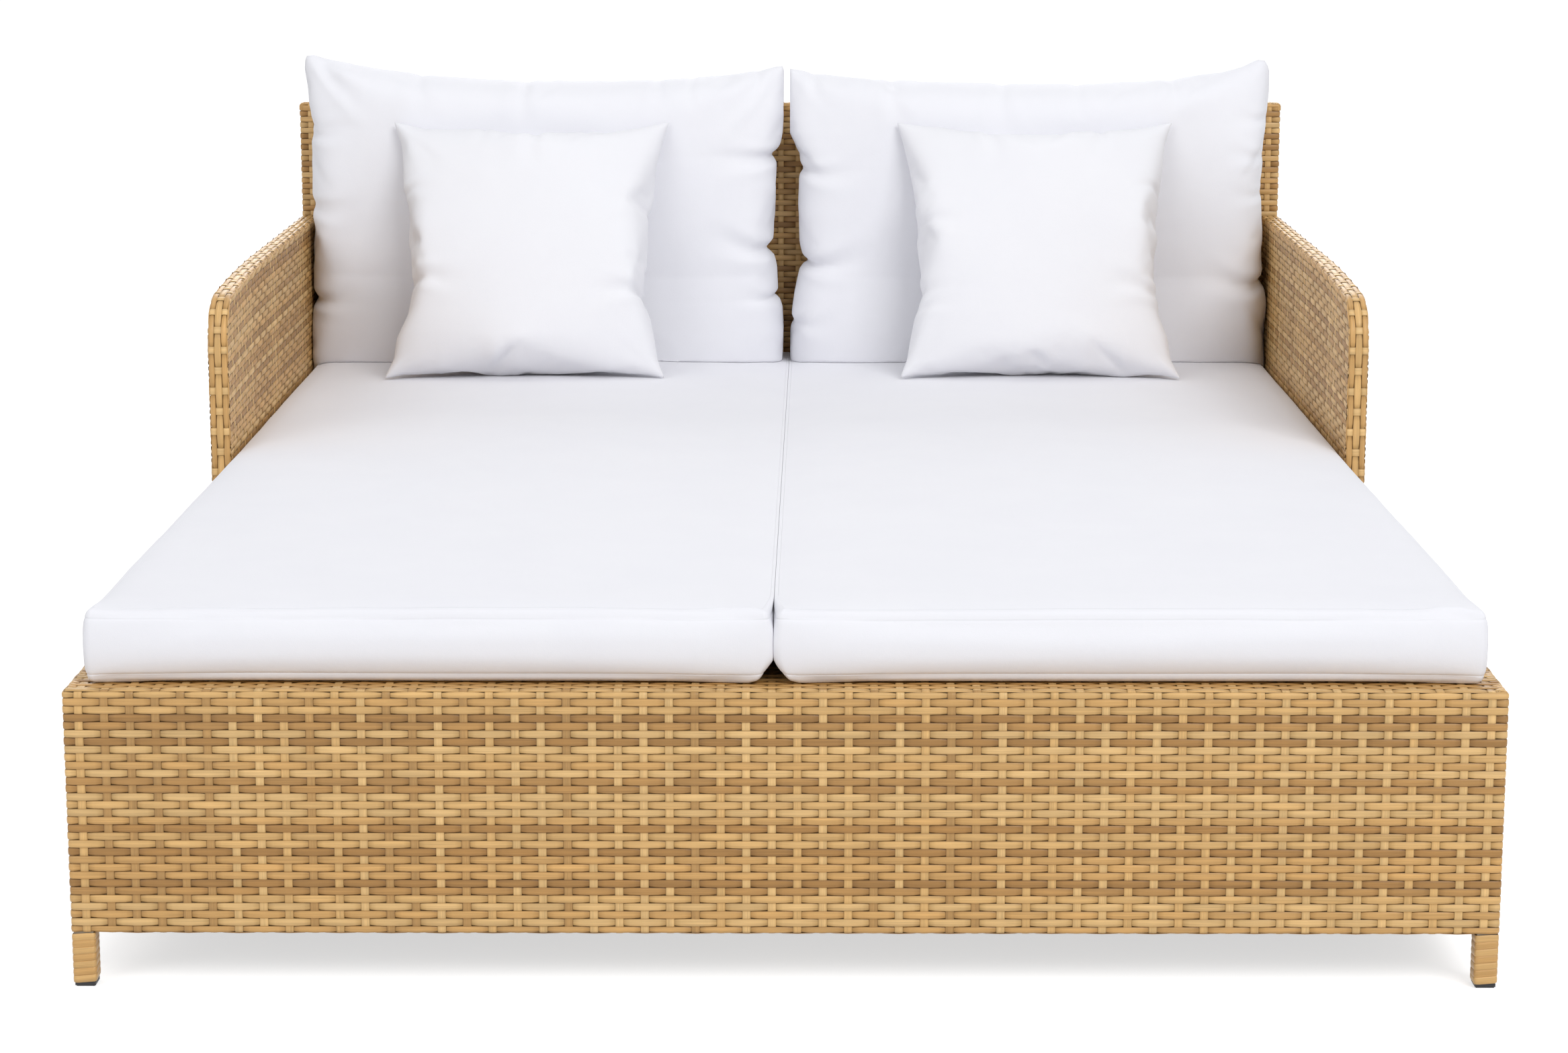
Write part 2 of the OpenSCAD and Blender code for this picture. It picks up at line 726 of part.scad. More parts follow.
function back_sheet(side, front) =
    [for (row = back_rows())
        [for (s = edge_close_shares(back_cells_across))
            let (
                t = row[0],
                x = side * back_mid_x + back_half(t) * s,
                z = back_foot(side, x) * (1 - t) + back_top(s) * t + row[1],
                out = max(seam_half, back_swell(s, t) - row[2])
            )
            [x, front ? back_seam_y(t) - out : min(seat_back, back_seam_y(t) + out), z]]];
module back_cushion(side) {
    color(white_colour) padded(back_sheet(side, true), back_sheet(side, false));
}

// Front of a back cushion at a place, found by following its outline in a few rounds.
far = base_d;
function back_front(side, x, z, t = 0.5, rounds = 4) =
    let (
        s = (x - side * back_mid_x) / back_half(t),
        z0 = back_foot(side, x),
        up = (z - z0) / (back_top(max(-1, min(1, s))) - z0)
    )
    rounds > 0 ? back_front(side, x, z, max(0, min(1, up)), rounds - 1)
        : abs(s) > 1 || up > 1 ? far
        : back_seam_y(t) - back_swell(s, t);

// Throw pillows. Each stands on the seat's crown and leans back until it meets its back cushion.
pillow_cells = 12;
pillow_power = 0.5;
function pillow_at(side) = side < 0 ? -pillow_left_x : pillow_right_x;
function pillow_sheet(side, front) =
    [for (b = edge_close_shares(pillow_cells))
        [for (a = edge_close_shares(pillow_cells))
            let (
                u = (pillow_w / 2 - pillow_draw * (1 - b * b)) * a,
                v = (pillow_w / 2 - pillow_draw * (1 - a * a)) * b,
                swell = pillow_t / 2 * pow(max(0, (1 - a * a) * (1 - b * b)), pillow_power),
                n = (front ? -1 : 1) * max(seam_half, swell)
            )
            [
                pillow_at(side) + u,
                v * sin(pillow_lean) + n * cos(pillow_lean),
                v * cos(pillow_lean) - n * sin(pillow_lean)
            ]]];
function pillow_rise(side) = soft_gap + seat_z + seat_h + seat_crown
    - min([for (front = [true, false]) for (p = joined(pillow_sheet(side, front))) p[2]]);
function pillow_reach(side, rise) = -pillow_gap + min([
    for (p = joined(pillow_sheet(side, false))) back_front(side, p[0], p[2] + rise) - p[1]]);
module throw_pillow(side) {
    rise = pillow_rise(side);
    color(white_colour) translate([0, pillow_reach(side, rise), rise])
        padded(pillow_sheet(side, true), pillow_sheet(side, false));
}

leg(-1, -1);  // leg_front_left
leg(1, -1);  // leg_front_right
leg(-1, 1);  // leg_rear_left
leg(1, 1);  // leg_rear_right
foot(-1, -1);  // foot_front_left
foot(1, -1);  // foot_front_right
foot(-1, 1);  // foot_rear_left
foot(1, 1);  // foot_rear_right
leg_wrap(-1, -1);  // leg_wrap_front_left
leg_wrap(1, -1);  // leg_wrap_front_right
leg_wrap(-1, 1);  // leg_wrap_rear_left
leg_wrap(1, 1);  // leg_wrap_rear_right
top_rail_across(-1);  // top_rail_front
top_rail_across(1);  // top_rail_rear
top_rail_along(-1);  // top_rail_left
top_rail_along(1);  // top_rail_right
rail_across(-1, low_rail_z);  // bottom_rail_front
rail_across(1, low_rail_z);  // bottom_rail_rear
rail_along(-1, low_rail_z);  // bottom_rail_left
rail_along(1, low_rail_z);  // bottom_rail_right
centre_beam(rail_top - tube);  // centre_beam_top
centre_beam(low_rail_z);  // centre_beam_bottom
base_stiles();
deck_slats();
apron_across(-1);  // apron_front
apron_across(1);  // apron_rear
apron_along(-1);  // apron_left
apron_along(1);  // apron_right
deck_weave();
arm_hoop(-1);  // arm_hoop_left
arm_hoop(1);  // arm_hoop_right
arm_bottom_rail(-1);  // arm_bottom_rail_left
arm_bottom_rail(1);  // arm_bottom_rail_right
arm_stiles(-1);  // arm_stiles_left
arm_stiles(1);  // arm_stiles_right
arm_outer_weave(-1);  // arm_outer_weave_left
arm_outer_weave(1);  // arm_outer_weave_right
arm_inner_weave(-1);  // arm_inner_weave_left
arm_inner_weave(1);  // arm_inner_weave_right
arm_edge(-1);  // arm_edge_left
arm_edge(1);  // arm_edge_right
back_hoop();
back_bottom_rail();
back_stiles();
back_front_weave();
back_rear_weave();
back_edge();
arm_bolts();
back_bolts();
threaded_inserts();
seat_cushion(-1);  // seat_cushion_left
seat_cushion(1);  // seat_cushion_right
back_cushion(-1);  // back_cushion_left
back_cushion(1);  // back_cushion_right
throw_pillow(-1);  // throw_pillow_left
throw_pillow(1);  // throw_pillow_right
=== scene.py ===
import math

import bpy
import numpy as np
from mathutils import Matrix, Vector
from mathutils.bvhtree import BVHTree


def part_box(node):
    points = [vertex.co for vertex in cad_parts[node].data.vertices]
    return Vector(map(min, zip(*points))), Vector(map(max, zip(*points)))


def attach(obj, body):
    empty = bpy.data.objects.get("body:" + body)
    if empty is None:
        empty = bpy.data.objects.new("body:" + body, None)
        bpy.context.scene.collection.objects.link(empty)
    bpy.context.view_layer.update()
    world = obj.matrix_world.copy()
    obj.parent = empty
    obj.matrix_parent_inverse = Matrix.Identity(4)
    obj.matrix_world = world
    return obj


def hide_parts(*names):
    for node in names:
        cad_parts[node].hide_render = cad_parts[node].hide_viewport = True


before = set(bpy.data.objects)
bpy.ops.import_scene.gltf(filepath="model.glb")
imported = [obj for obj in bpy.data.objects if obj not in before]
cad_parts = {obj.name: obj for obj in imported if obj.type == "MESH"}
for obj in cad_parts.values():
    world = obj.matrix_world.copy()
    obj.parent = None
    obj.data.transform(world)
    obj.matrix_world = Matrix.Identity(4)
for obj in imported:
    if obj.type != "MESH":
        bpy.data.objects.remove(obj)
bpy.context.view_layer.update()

rng = np.random.default_rng(7)

# Sizes, in metres.
HALF_W, HALF_D = 0.8, 1.0
RIM, CLEAR = 0.343, 0.062
PANEL = 0.0288
RIB, RIB_PITCH = 0.0096, 0.0284
ROW = 0.00906
# The first stake's distance from a corner.
FRONT_MARGIN, SIDE_MARGIN, ARM_MARGIN = 0.0187, 0.026, 0.019
ARM_Y, ARM_H, ARM_R, DROOP, DROOP_LEN = 0.020, 0.311, 0.066, 0.016, 0.400
ARM_LEN = HALF_D - PANEL - ARM_Y
BACK_H = 0.494
BACK_R = 0.006
SIDES = ((-1, "left"), (1, "right"))

# Strand colours, linear.
LIGHT = (0.675, 0.438, 0.186)
PALE = (0.630, 0.388, 0.150)
MID = (0.580, 0.336, 0.119)
DARK = (0.455, 0.248, 0.080)
DARKEST = (0.375, 0.196, 0.058)
DULL = (0.440, 0.252, 0.088)
# Painted shade: the dark of the hollow behind a weave, given to the sheets put there.
SHADE_BEHIND = (0.105, 0.060, 0.028)
# How strongly red, green and blue fade where less light reaches a strand.
FADE = np.array([0.85, 1.0, 1.4])


# Meshes.
def add_object(name, mesh, material):
    piece = bpy.data.objects.new(name, mesh)
    bpy.context.scene.collection.objects.link(piece)
    mesh.materials.append(material)
    return piece


def add_mesh(name, points, faces, material, tone=None, run=None):
    """A piece from arrays. tone is each point's colour, run its place along and across its
    strand."""
    mesh = bpy.data.meshes.new(name)
    points = np.asarray(points, float)
    faces = np.asarray(faces, int)
    mesh.vertices.add(len(points))
    mesh.vertices.foreach_set("co", points.ravel())
    mesh.loops.add(faces.size)
    mesh.loops.foreach_set("vertex_index", faces.ravel())
    mesh.polygons.add(len(faces))
    mesh.polygons.foreach_set("loop_start", np.arange(len(faces)) * faces.shape[1])
    mesh.update(calc_edges=True)
    mesh.validate()
    mesh.polygons.foreach_set("use_smooth", np.ones(len(mesh.polygons), bool))
    if tone is not None:
        layer = mesh.attributes.new("tone", "FLOAT_COLOR", "POINT")
        layer.data.foreach_set("color", np.column_stack([tone, np.ones(len(tone))]).ravel())
    if run is not None:
        layer = mesh.attributes.new("run", "FLOAT_VECTOR", "POINT")
        layer.data.foreach_set("vector", np.asarray(run, float).ravel())
    return add_object(name, mesh, material)


def quads_of(index, turned=False):
    """The squares of a grid of point numbers."""
    corners = index[:-1, :-1], index[:-1, 1:], index[1:, 1:], index[1:, :-1]
    quads = np.stack(corners, axis=-1).reshape(-1, 4)
    return quads[:, ::-1] if turned else quads


def grid_faces(count, n, m, turned):
    """Squares of a number of grids of n by m points, laid one after the other."""
    quads = quads_of(np.arange(n * m).reshape(n, m), turned)
    return (quads[None] + (np.arange(count) * n * m)[:, None, None]).reshape(-1, 4)


# Materials.
def settle(node, values):
    """Sets a node's inputs."""
    for key, value in values.items():
        node.inputs[key].default_value = value


class Tree:
    """The node tree of a material or of the world, with the nodes that are used here."""

    def __init__(self, owner):
        owner.use_nodes = True
        self.nodes = owner.node_tree.nodes
        self.link = owner.node_tree.links.new

    def noise(self, vector, scale, detail=2.0, rough=0.5):
        node = self.nodes.new("ShaderNodeTexNoise")
        settle(node, {"Scale": scale, "Detail": detail, "Roughness": rough})
        self.link(vector, node.inputs["Vector"])
        return node.outputs["Fac"]

    def ramp(self, value, out_low, out_high, low=0.3, high=0.7):
        node = self.nodes.new("ShaderNodeMapRange")
        self.link(value, node.inputs["Value"])
        settle(node, {"From Min": low, "From Max": high, "To Min": out_low, "To Max": out_high})
        return node.outputs["Result"]

    def math(self, operation, a, b):
        node = self.nodes.new("ShaderNodeMath")
        node.operation = operation
        for value, socket in zip((a, b), node.inputs):
            if isinstance(value, float):
                socket.default_value = value
            else:
                self.link(value, socket)
        return node.outputs[0]

    def attribute(self, name):
        node = self.nodes.new("ShaderNodeAttribute")
        node.attribute_name = name
        return node.outputs

    def stretched(self, source, scale):
        node = self.nodes.new("ShaderNodeMapping")
        settle(node, {"Scale": scale})
        self.link(source, node.inputs["Vector"])
        return node.outputs["Vector"]

    def bump(self, shader, height, strength, distance):
        node = self.nodes.new("ShaderNodeBump")
        settle(node, {"Strength": strength, "Distance": distance})
        self.link(height, node.inputs["Height"])
        self.link(node.outputs["Normal"], shader.inputs["Normal"])

    def seen(self):
        """1 where the camera looks, also by way of a mirror or through glass, else 0."""
        path = self.nodes.new("ShaderNodeLightPath").outputs
        direct = self.math("MAXIMUM", path["Is Camera Ray"], path["Is Glossy Ray"])
        return self.math("MAXIMUM", direct, path["Is Transmission Ray"])


def node_material(name):
    material = bpy.data.materials.new(name)
    tree = Tree(material)
    return material, tree, tree.nodes["Principled BSDF"]


def strand_material():
    """Flat synthetic strand: a colour of its own, fine streaks along it and a satin face."""
    material, tree, shader = node_material("strand")
    run = tree.attribute("run")["Vector"]
    fine = tree.noise(tree.stretched(run, (9, 1500, 7)), 1.0, 3.0, 0.6)
    broad = tree.noise(tree.stretched(run, (14, 220, 5)), 1.0, 1.0)
    mix = tree.nodes.new("ShaderNodeVectorMath")
    mix.operation = "SCALE"
    tree.link(tree.attribute("tone")["Color"], mix.inputs[0])
    tree.link(tree.math("MULTIPLY", tree.ramp(fine, 0.86, 1.12), tree.ramp(broad, 0.90, 1.08)),
              mix.inputs["Scale"])
    tree.link(mix.outputs["Vector"], shader.inputs["Base Color"])
    tree.link(tree.ramp(fine, 0.48, 0.34), shader.inputs["Roughness"])
    settle(shader, {"Specular IOR Level": 0.40})
    tree.bump(shader, fine, 0.22, 0.00035)
    return material


def grained(name, low, high, patches, grain, rough, relief=None, metal=0.0):
    """A material of two close colours in soft patches, with a fine grain in its roughness and,
    where relief is given, in its face."""
    material, tree, shader = node_material(name)
    place = tree.nodes.new("ShaderNodeTexCoord").outputs["Object"]
    tint = tree.nodes.new("ShaderNodeMix")
    tint.data_type = "RGBA"
    settle(tint, {"A": (*low, 1), "B": (*high, 1)})
    tree.link(tree.noise(place, *patches), tint.inputs["Factor"])
    tree.link(tint.outputs["Result"], shader.inputs["Base Color"])
    settle(shader, {"Metallic": metal})
    fine = tree.noise(place, *grain)
    tree.link(tree.ramp(fine, *rough), shader.inputs["Roughness"])
    if relief:
        tree.bump(shader, fine, *relief)
    return material, tree, shader, place, fine


def cloth_material(name, low, high):
    """White outdoor cloth: a fine plain weave, soft unevenness and a little sheen."""
    material, tree, shader, place, threads = grained(
        name, low, high, patches=(7.0, 4.0, 0.6), grain=(900.0, 2.0, 0.6), rough=(0.78, 0.92))
    settle(shader, {"Sheen Weight": 0.12, "Sheen Roughness": 0.5, "Specular IOR Level": 0.25})
    unevenness = tree.noise(place, 26.0, 3.0, 0.55)
    height = tree.math("ADD", tree.ramp(threads, 0.0, 0.35, 0.0, 1.0), unevenness)
    tree.bump(shader, height, 0.35, 0.0009)
    return material


strand = strand_material()
paint = grained("powder_coat", (0.30, 0.235, 0.165), (0.36, 0.285, 0.205), patches=(16.0, 3.0),
                grain=(1400.0, 2.0), rough=(0.42, 0.58), relief=(0.25, 0.0002))[0]
plastic = grained("foot_plastic", (0.012, 0.012, 0.013), (0.024, 0.024, 0.026),
                  patches=(120.0, 3.0), grain=(2600.0, 1.0), rough=(0.45, 0.6),
                  relief=(0.2, 0.0001))[0]
steel = grained("zinc_steel", (0.52, 0.53, 0.54), (0.66, 0.66, 0.64), patches=(240.0, 3.0),
                grain=(900.0,), rough=(0.26, 0.42), metal=1.0)[0]
cushion_cloth = cloth_material("cushion_cloth", (0.795, 0.795, 0.838), (0.835, 0.835, 0.868))
pillow_cloth = cloth_material("pillow_cloth", (0.800, 0.800, 0.838), (0.840, 0.840, 0.868))


# Weaves.
class Line:
    """A smooth line of points in a plane, followed by the distance along it."""

    def __init__(self, points, closed=False, left=True):
        p = np.asarray(points, float)
        if closed:
            p = np.vstack([p, p[:1]])
        step = np.linalg.norm(np.diff(p, axis=0), axis=1)
        self.at = np.concatenate([[0], np.cumsum(step)])
        self.length = self.at[-1]
        self.points = p
        t = np.diff(p, axis=0) / step[:, None]
        if closed:
            ahead, behind = t, np.roll(t, 1, axis=0)
            t = np.vstack([ahead + behind, (ahead + behind)[:1]])
        else:
            t = np.vstack([t[:1], t[1:] + t[:-1], t[-1:]])
        t /= np.linalg.norm(t, axis=1)[:, None]
        self.normals = np.column_stack([-t[:, 1], t[:, 0]]) * (1 if left else -1)
        self.closed = closed

    def __call__(self, g):
        if self.closed:
            g = np.mod(g, self.length)
        p = [np.interp(g, self.at, self.points[:, k]) for k in (0, 1)]
        n = [np.interp(g, self.at, self.normals[:, k]) for k in (0, 1)]
        return p[0], p[1], n[0], n[1]


def arc(cx, cy, r, start, end, steps):
    angles = np.radians(np.linspace(start, end, steps + 1))
    return [(cx + r * math.cos(a), cy + r * math.sin(a)) for a in angles]


def rounded_plan(x0, x1, y0, y1, r, steps, first):
    """A closed rectangle with round corners that starts in the middle of its first corner."""
    corners = ((x0 + r, y0 + r, 180), (x1 - r, y0 + r, 270),
               (x1 - r, y1 - r, 0), (x0 + r, y1 - r, 90))
    x, y, turn = corners[first]
    points = arc(x, y, r, turn + 45, turn + 90, steps // 2)
    for k in (1, 2, 3):
        cx, cy, start = corners[(first + k) % 4]
        points += arc(cx, cy, r, start, start + 90, steps)
    points += arc(x, y, r, turn, turn + 45, steps // 2)[:-1]
    return Line(points, closed=True, left=False)


# A float is the part of a strand that shows between the two stakes that it dives under. By the
# distance from the middle of such a stake: its depth, the share of its height and how far light
# reaches it. Then, across the float: the place, the depth and the light.
# The same follows for a bump, the part of a stake that shows between two floats.
FINE = [np.array(row) for row in (
    (0.0016, 0.0042, 0.0058, 0.0125),
    (-0.0025, -0.0020, -0.00150, -0.00075, -0.0002),
    (0.78, 0.82, 0.87, 0.955, 0.995),
    (0.42, 0.50, 0.74, 0.98, 1.04),
    (-1, -0.74, 0, 0.74, 1),
    (-0.00105, -0.00020, 0, -0.00020, -0.00105),
    (0.52, 0.97, 1.02, 0.97, 0.52),
    (-0.0086, -0.0052, -0.0032, 0, 0.0032, 0.0052, 0.0086),
    (-0.0027, -0.0014, -0.00085, -0.0007, -0.00085, -0.0014, -0.0027),
    (0.40, 0.62, 0.98, 1.03, 0.98, 0.62, 0.40),
    (-0.0008, -0.00012, 0, -0.00012, -0.0008),
    (0.60, 1.0, 1.02, 1.0, 0.60),
)]
# The same tables with fewer points, for what lies under the cushions.
COARSE = [row[kept] for row, kept in zip(FINE, (
    [0, 3], [1, 3, 4], [1, 3, 4], [1, 3, 4], [0, 2, 4], [0, 2, 4], [0, 2, 4],
    [0, 3, 6], [1, 3, 5], [0, 3, 6], [0, 2, 4], [0, 2, 4]))]


def mirrored(half):
    return np.concatenate([half, half[-2::-1]])


def stacked(*axes):
    """Grids of numbers, widened to one shape, as a list of points."""
    return np.stack(np.broadcast_arrays(*axes), axis=-1).reshape(-1, len(axes))


def weave(name, surface, ribs, rows, ends=None, closed=None, half=ROW / 2, keep=None,
          row_tones=None, rib_tones=None, fine=True, row_ids=None, wide=RIB / 2, bends=(),
          raised=0.0):
    """Plain weave on a surface: ribs are the places of the stakes along it, rows those of the
    strands across it, and surface(g, v, d) gives points at a depth d of zero or less. Floats
    get more points at the bends."""
    (away, deep, tall, lit, across, rounded, across_lit,
     bump_at, bump_deep, bump_lit, bump_rounded, bump_across_lit) = FINE if fine else COARSE
    ribs = np.asarray(ribs, float)
    rows = np.asarray(rows, float)
    row_ids = list(range(len(rows)) if row_ids is None else row_ids)
    spans, bumps = [], []
    for j, v in zip(row_ids, rows):
        shown = [k for k in range(len(ribs)) if (k + j) % 2]
        bumps += [(ribs[k], v, k) for k in shown]
        pairs = [(ribs[a], ribs[b], False, False) for a, b in zip(shown, shown[1:])]
        if closed is not None:
            pairs.append((ribs[shown[-1]], ribs[shown[0]] + closed, False, False))
        else:
            pairs.insert(0, (ends[0], ribs[shown[0]], True, False))
            pairs.append((ribs[shown[-1]], ends[1], False, True))
        spans += [(a, b, v, j, open_a, open_b) for a, b, open_a, open_b in pairs]
    if keep is not None:
        spans = [s for s in spans if keep((s[0] + s[1]) / 2, s[2])]
        bumps = [b for b in bumps if keep(b[0], b[1])]

    # Floats.
    a, b, v, j, open_a, open_b = (np.array(column) for column in zip(*spans))
    near = np.minimum(away[None], 0.46 * (b - a)[:, None] * (away / away[-1])[None])
    g = np.concatenate([a[:, None] + near, ((a + b) / 2)[:, None], b[:, None] - near[:, ::-1]],
                       axis=1)
    depth, size, reached = (np.tile(mirrored(x), (len(a), 1)) for x in (deep, tall, lit))
    n = g.shape[1]
    # At an open end the strand stays up and runs out flat.
    for mask, part in ((open_a, slice(0, n // 2)), (open_b, slice(n // 2 + 1, n))):
        depth[mask, part] = deep[-1]
        reached[mask, part] = 1.0
    g[open_a, 0] = a[open_a]
    g[open_b, -1] = b[open_b]
    depth += rng.normal(0, 0.00006, (len(a), 1))
    tilt = rng.normal(0, 0.00008, (len(a), 1, 1))
    if row_tones is None:
        row_tones = strand_tones(max(row_ids) + 1)
    tone = row_tones[j] * (1 + rng.normal(0, 0.04, (len(a), 1)))
    inside = [[c for c in bends if g[i, 0] < c < g[i, -1]] for i in range(len(a))]
    count = np.array([len(c) for c in inside])
    points, tones, runs, shapes, total = [], [], [], [], 0
    for many in np.unique(count):
        pick = np.nonzero(count == many)[0]
        more = np.array([inside[i] for i in pick]).reshape(len(pick), many)
        along = np.concatenate([g[pick], more], axis=1)
        order = np.argsort(along, axis=1)
        along = np.take_along_axis(along, order, axis=1)
        values = []
        for x in (depth, size, reached):
            at_bends = np.array([np.interp(c, g[i], x[i]) for c, i in zip(more, pick)])
            both = np.concatenate([x[pick], at_bends.reshape(more.shape)], axis=1)
            values.append(np.take_along_axis(both, order, axis=1)[:, :, None])
        deeper, wider, light = values
        gg = np.repeat(along[:, :, None], len(across), axis=2)
        vv = v[pick, None, None] + half * wider * across
        points.append(stacked(*surface(gg, vv, deeper + rounded + tilt[pick] * across)))
        shade = (light * across_lit)[..., None] ** FADE
        tones.append((tone[pick][:, None, None] * shade).reshape(-1, 3))
        runs.append(stacked(gg, half * across, j[pick, None, None] * 3.7))
        shapes.append((gg.shape, total))
        total += len(points[-1])
    # Whether the surface's own directions make its faces look inwards.
    steps = np.vstack([np.zeros(3), 1e-4 * np.eye(3)]) + (np.median(g), np.median(v), -0.001)
    start, *moved = (np.ravel(surface(*step[:, None])) for step in steps)
    by_g, by_v, by_d = (place - start for place in moved)
    inward = np.dot(np.cross(by_g, by_v), by_d) < 0
    faces = [grid_faces(*shape, not inward) + first for shape, first in shapes]

    # Bumps.
    g0, v0, k = (np.array(column) for column in zip(*bumps))
    if rib_tones is None:
        rib_tones = stake_tones(len(ribs))
    shape = (len(bumps), len(bump_at), len(bump_rounded))
    gg = np.broadcast_to(g0[:, None, None] + wide * across, shape)
    vv = np.broadcast_to(v0[:, None, None] + bump_at[:, None], shape)
    dd = bump_deep[:, None] + raised + bump_rounded + rng.normal(0, 0.00005, (len(bumps), 1, 1))
    points.append(stacked(*surface(gg, vv, dd)))
    stake = rib_tones[k] * (1 + rng.normal(0, 0.03, (len(bumps), 1)))
    light = bump_lit[:, None] * bump_across_lit
    tones.append((stake[:, None, None] * light[..., None] ** FADE).reshape(-1, 3))
    runs.append(stacked(vv, wide * across, k[:, None, None] * 2.9 + 500))
    # A stake's grid runs across first, so its faces turn the other way.
    faces.append(grid_faces(*shape, inward) + total)
    return add_mesh(name, np.vstack(points), np.vstack(faces), strand,
                    np.clip(np.vstack(tones), 0, 1), np.vstack(runs))


def strand_tones(count):
    """A colour for each row: up to four light or middle ones, then one or two dark ones."""
    tones = []
    while len(tones) < count:
        tones += [(LIGHT, PALE, MID)[k] for k in rng.integers(0, 3, rng.integers(1, 5))]
        tones += [(DARK, DARKEST)[k] for k in rng.integers(0, 2, rng.choice([1, 1, 2]))]
    return np.array(tones[:count]) * (1 + rng.normal(0, 0.04, (count, 1)))


def stake_tones(count):
    tones, dull = [], False
    for _ in range(count):
        dull = rng.random() < (0.5 if dull else 0.22)
        tones.append(DULL if dull else (LIGHT if rng.random() < 0.6 else PALE))
    return np.array(tones) * (1 + rng.normal(0, 0.03, (count, 1)))


def spread(length, margin=None, end=0.012, ends=0.040):
    """Stakes along a length: evenly about its middle, so that at least a length of ends stays
    free, or from a margin at its start to the end that is kept free."""
    if margin is not None:
        return margin + RIB_PITCH * np.arange(int((length - margin - end) / RIB_PITCH) + 1)
    n = int((length - ends) / RIB_PITCH) + 1
    return length / 2 + (np.arange(n) - (n - 1) / 2) * RIB_PITCH


def panel_rows(margin, last):
    """Rows down a panel from its top edge on, as far as a last place."""
    rows = margin + ROW / 2 + ROW * np.arange(60)
    return rows[rows < last]


def sheet(name, surface, g, v, depth=-0.0031):
    """A sheet behind a weave, coloured as painted shade, so that nothing shows through between the
    strands. g and v are its start, end and number of points each way."""
    g, v = np.linspace(*g), np.linspace(*v)
    gg, vv = np.meshgrid(g, v, indexing="ij")
    points = stacked(*surface(gg, vv, np.full(gg.shape, depth)))
    return add_mesh(name, points, grid_faces(1, len(g), len(v), False), strand,
                    np.tile(SHADE_BEHIND, (len(points), 1)), stacked(gg, vv, 0.0))


def joined(name, pieces):
    """Several meshes made into one piece."""
    with bpy.context.temp_override(active_object=pieces[0], selected_editable_objects=pieces,
                                   selected_objects=pieces, object=pieces[0]):
        bpy.ops.object.join()
    pieces[0].name = name
    return pieces[0]


def finish_weave(piece, nodes):
    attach(piece, "frame")
    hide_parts(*nodes)


# Aprons: rows run round the base, over a rounded rim at the top and in under the rail below.
CORNER, TOP_R, LOW_R = 0.005, 0.005, 0.004
FLAT_W, FLAT_D, FLAT_T = 2 * (HALF_W - CORNER), 2 * (HALF_D - CORNER), PANEL - 2 * CORNER
EIGHTH = CORNER * math.pi / 4
plan = rounded_plan(-HALF_W, HALF_W, -HALF_D, HALF_D, CORNER, 8, 0)
rise = Line([(-0.012, RIM)] + arc(-TOP_R, RIM - TOP_R, TOP_R, 90, 0, 6)
            + arc(-LOW_R, CLEAR + LOW_R, LOW_R, 0, -90, 6) + [(-0.026, CLEAR)])
AROUND = np.array([-0.0039, -0.0013, 0.0013, 0.0039])


def corner_bends(first, second):
    """Places round the corners of a closed plan whose straight sides have these lengths."""
    corners = np.cumsum([0, first, second, first, second]) + 2 * EIGHTH * np.arange(5)
    return np.concatenate([c + AROUND for c in corners])


# Where each apron's straight part starts on the plan, its whole length and its first stake.
APRONS = {
    "front": (EIGHTH, 2 * HALF_W, FRONT_MARGIN),
    "right": (EIGHTH * 3 + FLAT_W, 2 * HALF_D, SIDE_MARGIN),
    "rear": (EIGHTH * 5 + FLAT_W + FLAT_D, 2 * HALF_W, FRONT_MARGIN),
    "left": (EIGHTH * 7 + 2 * FLAT_W + FLAT_D, 2 * HALF_D, SIDE_MARGIN),
}


def apron_surface(g, v, d):
    x, y, nx, ny = plan(g)
    off, z, n_off, n_z = rise(v)
    out = off + n_off * d
    return x + nx * out, y + ny * out, z + n_z * d


ribs = [start + place - CORNER for start, length, margin in APRONS.values()
        for place in spread(length, margin)]
# A closed weave needs an even number of stakes.
ribs = np.array(ribs[:len(ribs) // 2 * 2])
first_row = 0.007 + TOP_R * math.pi / 2 - 0.0005
APRON_ROWS, UNDER_ROWS = 32, 2
apron_rows = first_row + ROW * np.arange(-1, APRON_ROWS - 1 + UNDER_ROWS)
last_face_row = apron_rows[APRON_ROWS - 1]
tones = strand_tones(APRON_ROWS + UNDER_ROWS)
tones[:2] = PALE
tones[APRON_ROWS - 1] = MID
rib_tones = stake_tones(len(ribs))
LEG_KEEP = 0.034


def side_of(g):
    edges = [start - EIGHTH for start, _, _ in APRONS.values()]
    return list(APRONS)[int(np.searchsorted(edges, np.mod(g, plan.length), side="right")) - 1]


for side, (start, length, _) in APRONS.items():
    low = start - CORNER
    high = low + length

    def on_side(g, v, side=side, low=low + LEG_KEEP, high=high - LEG_KEEP):
        return side_of(g) == side and (v <= last_face_row + ROW / 2 or low < g < high)

    woven = weave("apron_weave_" + side, apron_surface, ribs, apron_rows, closed=plan.length,
                  keep=on_side, row_tones=tones, rib_tones=rib_tones,
                  bends=corner_bends(FLAT_W, FLAT_D))
    behind = sheet("apron_behind_" + side, apron_surface,
                   (low + 0.006, high - 0.006, 24), (0.006, rise.length - 0.003, 22))
    finish_weave(joined("apron_weave_" + side, [woven, behind]), ["apron_" + side])


# Deck: rows from side to side, finer where the rim shows round the cushions.
DECK_END = HALF_W - 0.006


def deck_surface(g, v, d):
    return g, v, RIM + d


deck_ribs = ribs[:len(spread(2 * HALF_W, FRONT_MARGIN))] - EIGHTH + CORNER - HALF_W
deck_rows = -HALF_D + 0.0125 + ROW * np.arange(int((2 * HALF_D - 0.02) / ROW))
deck_tones = strand_tones(len(deck_rows))
deck_rib_tones = stake_tones(len(deck_ribs))


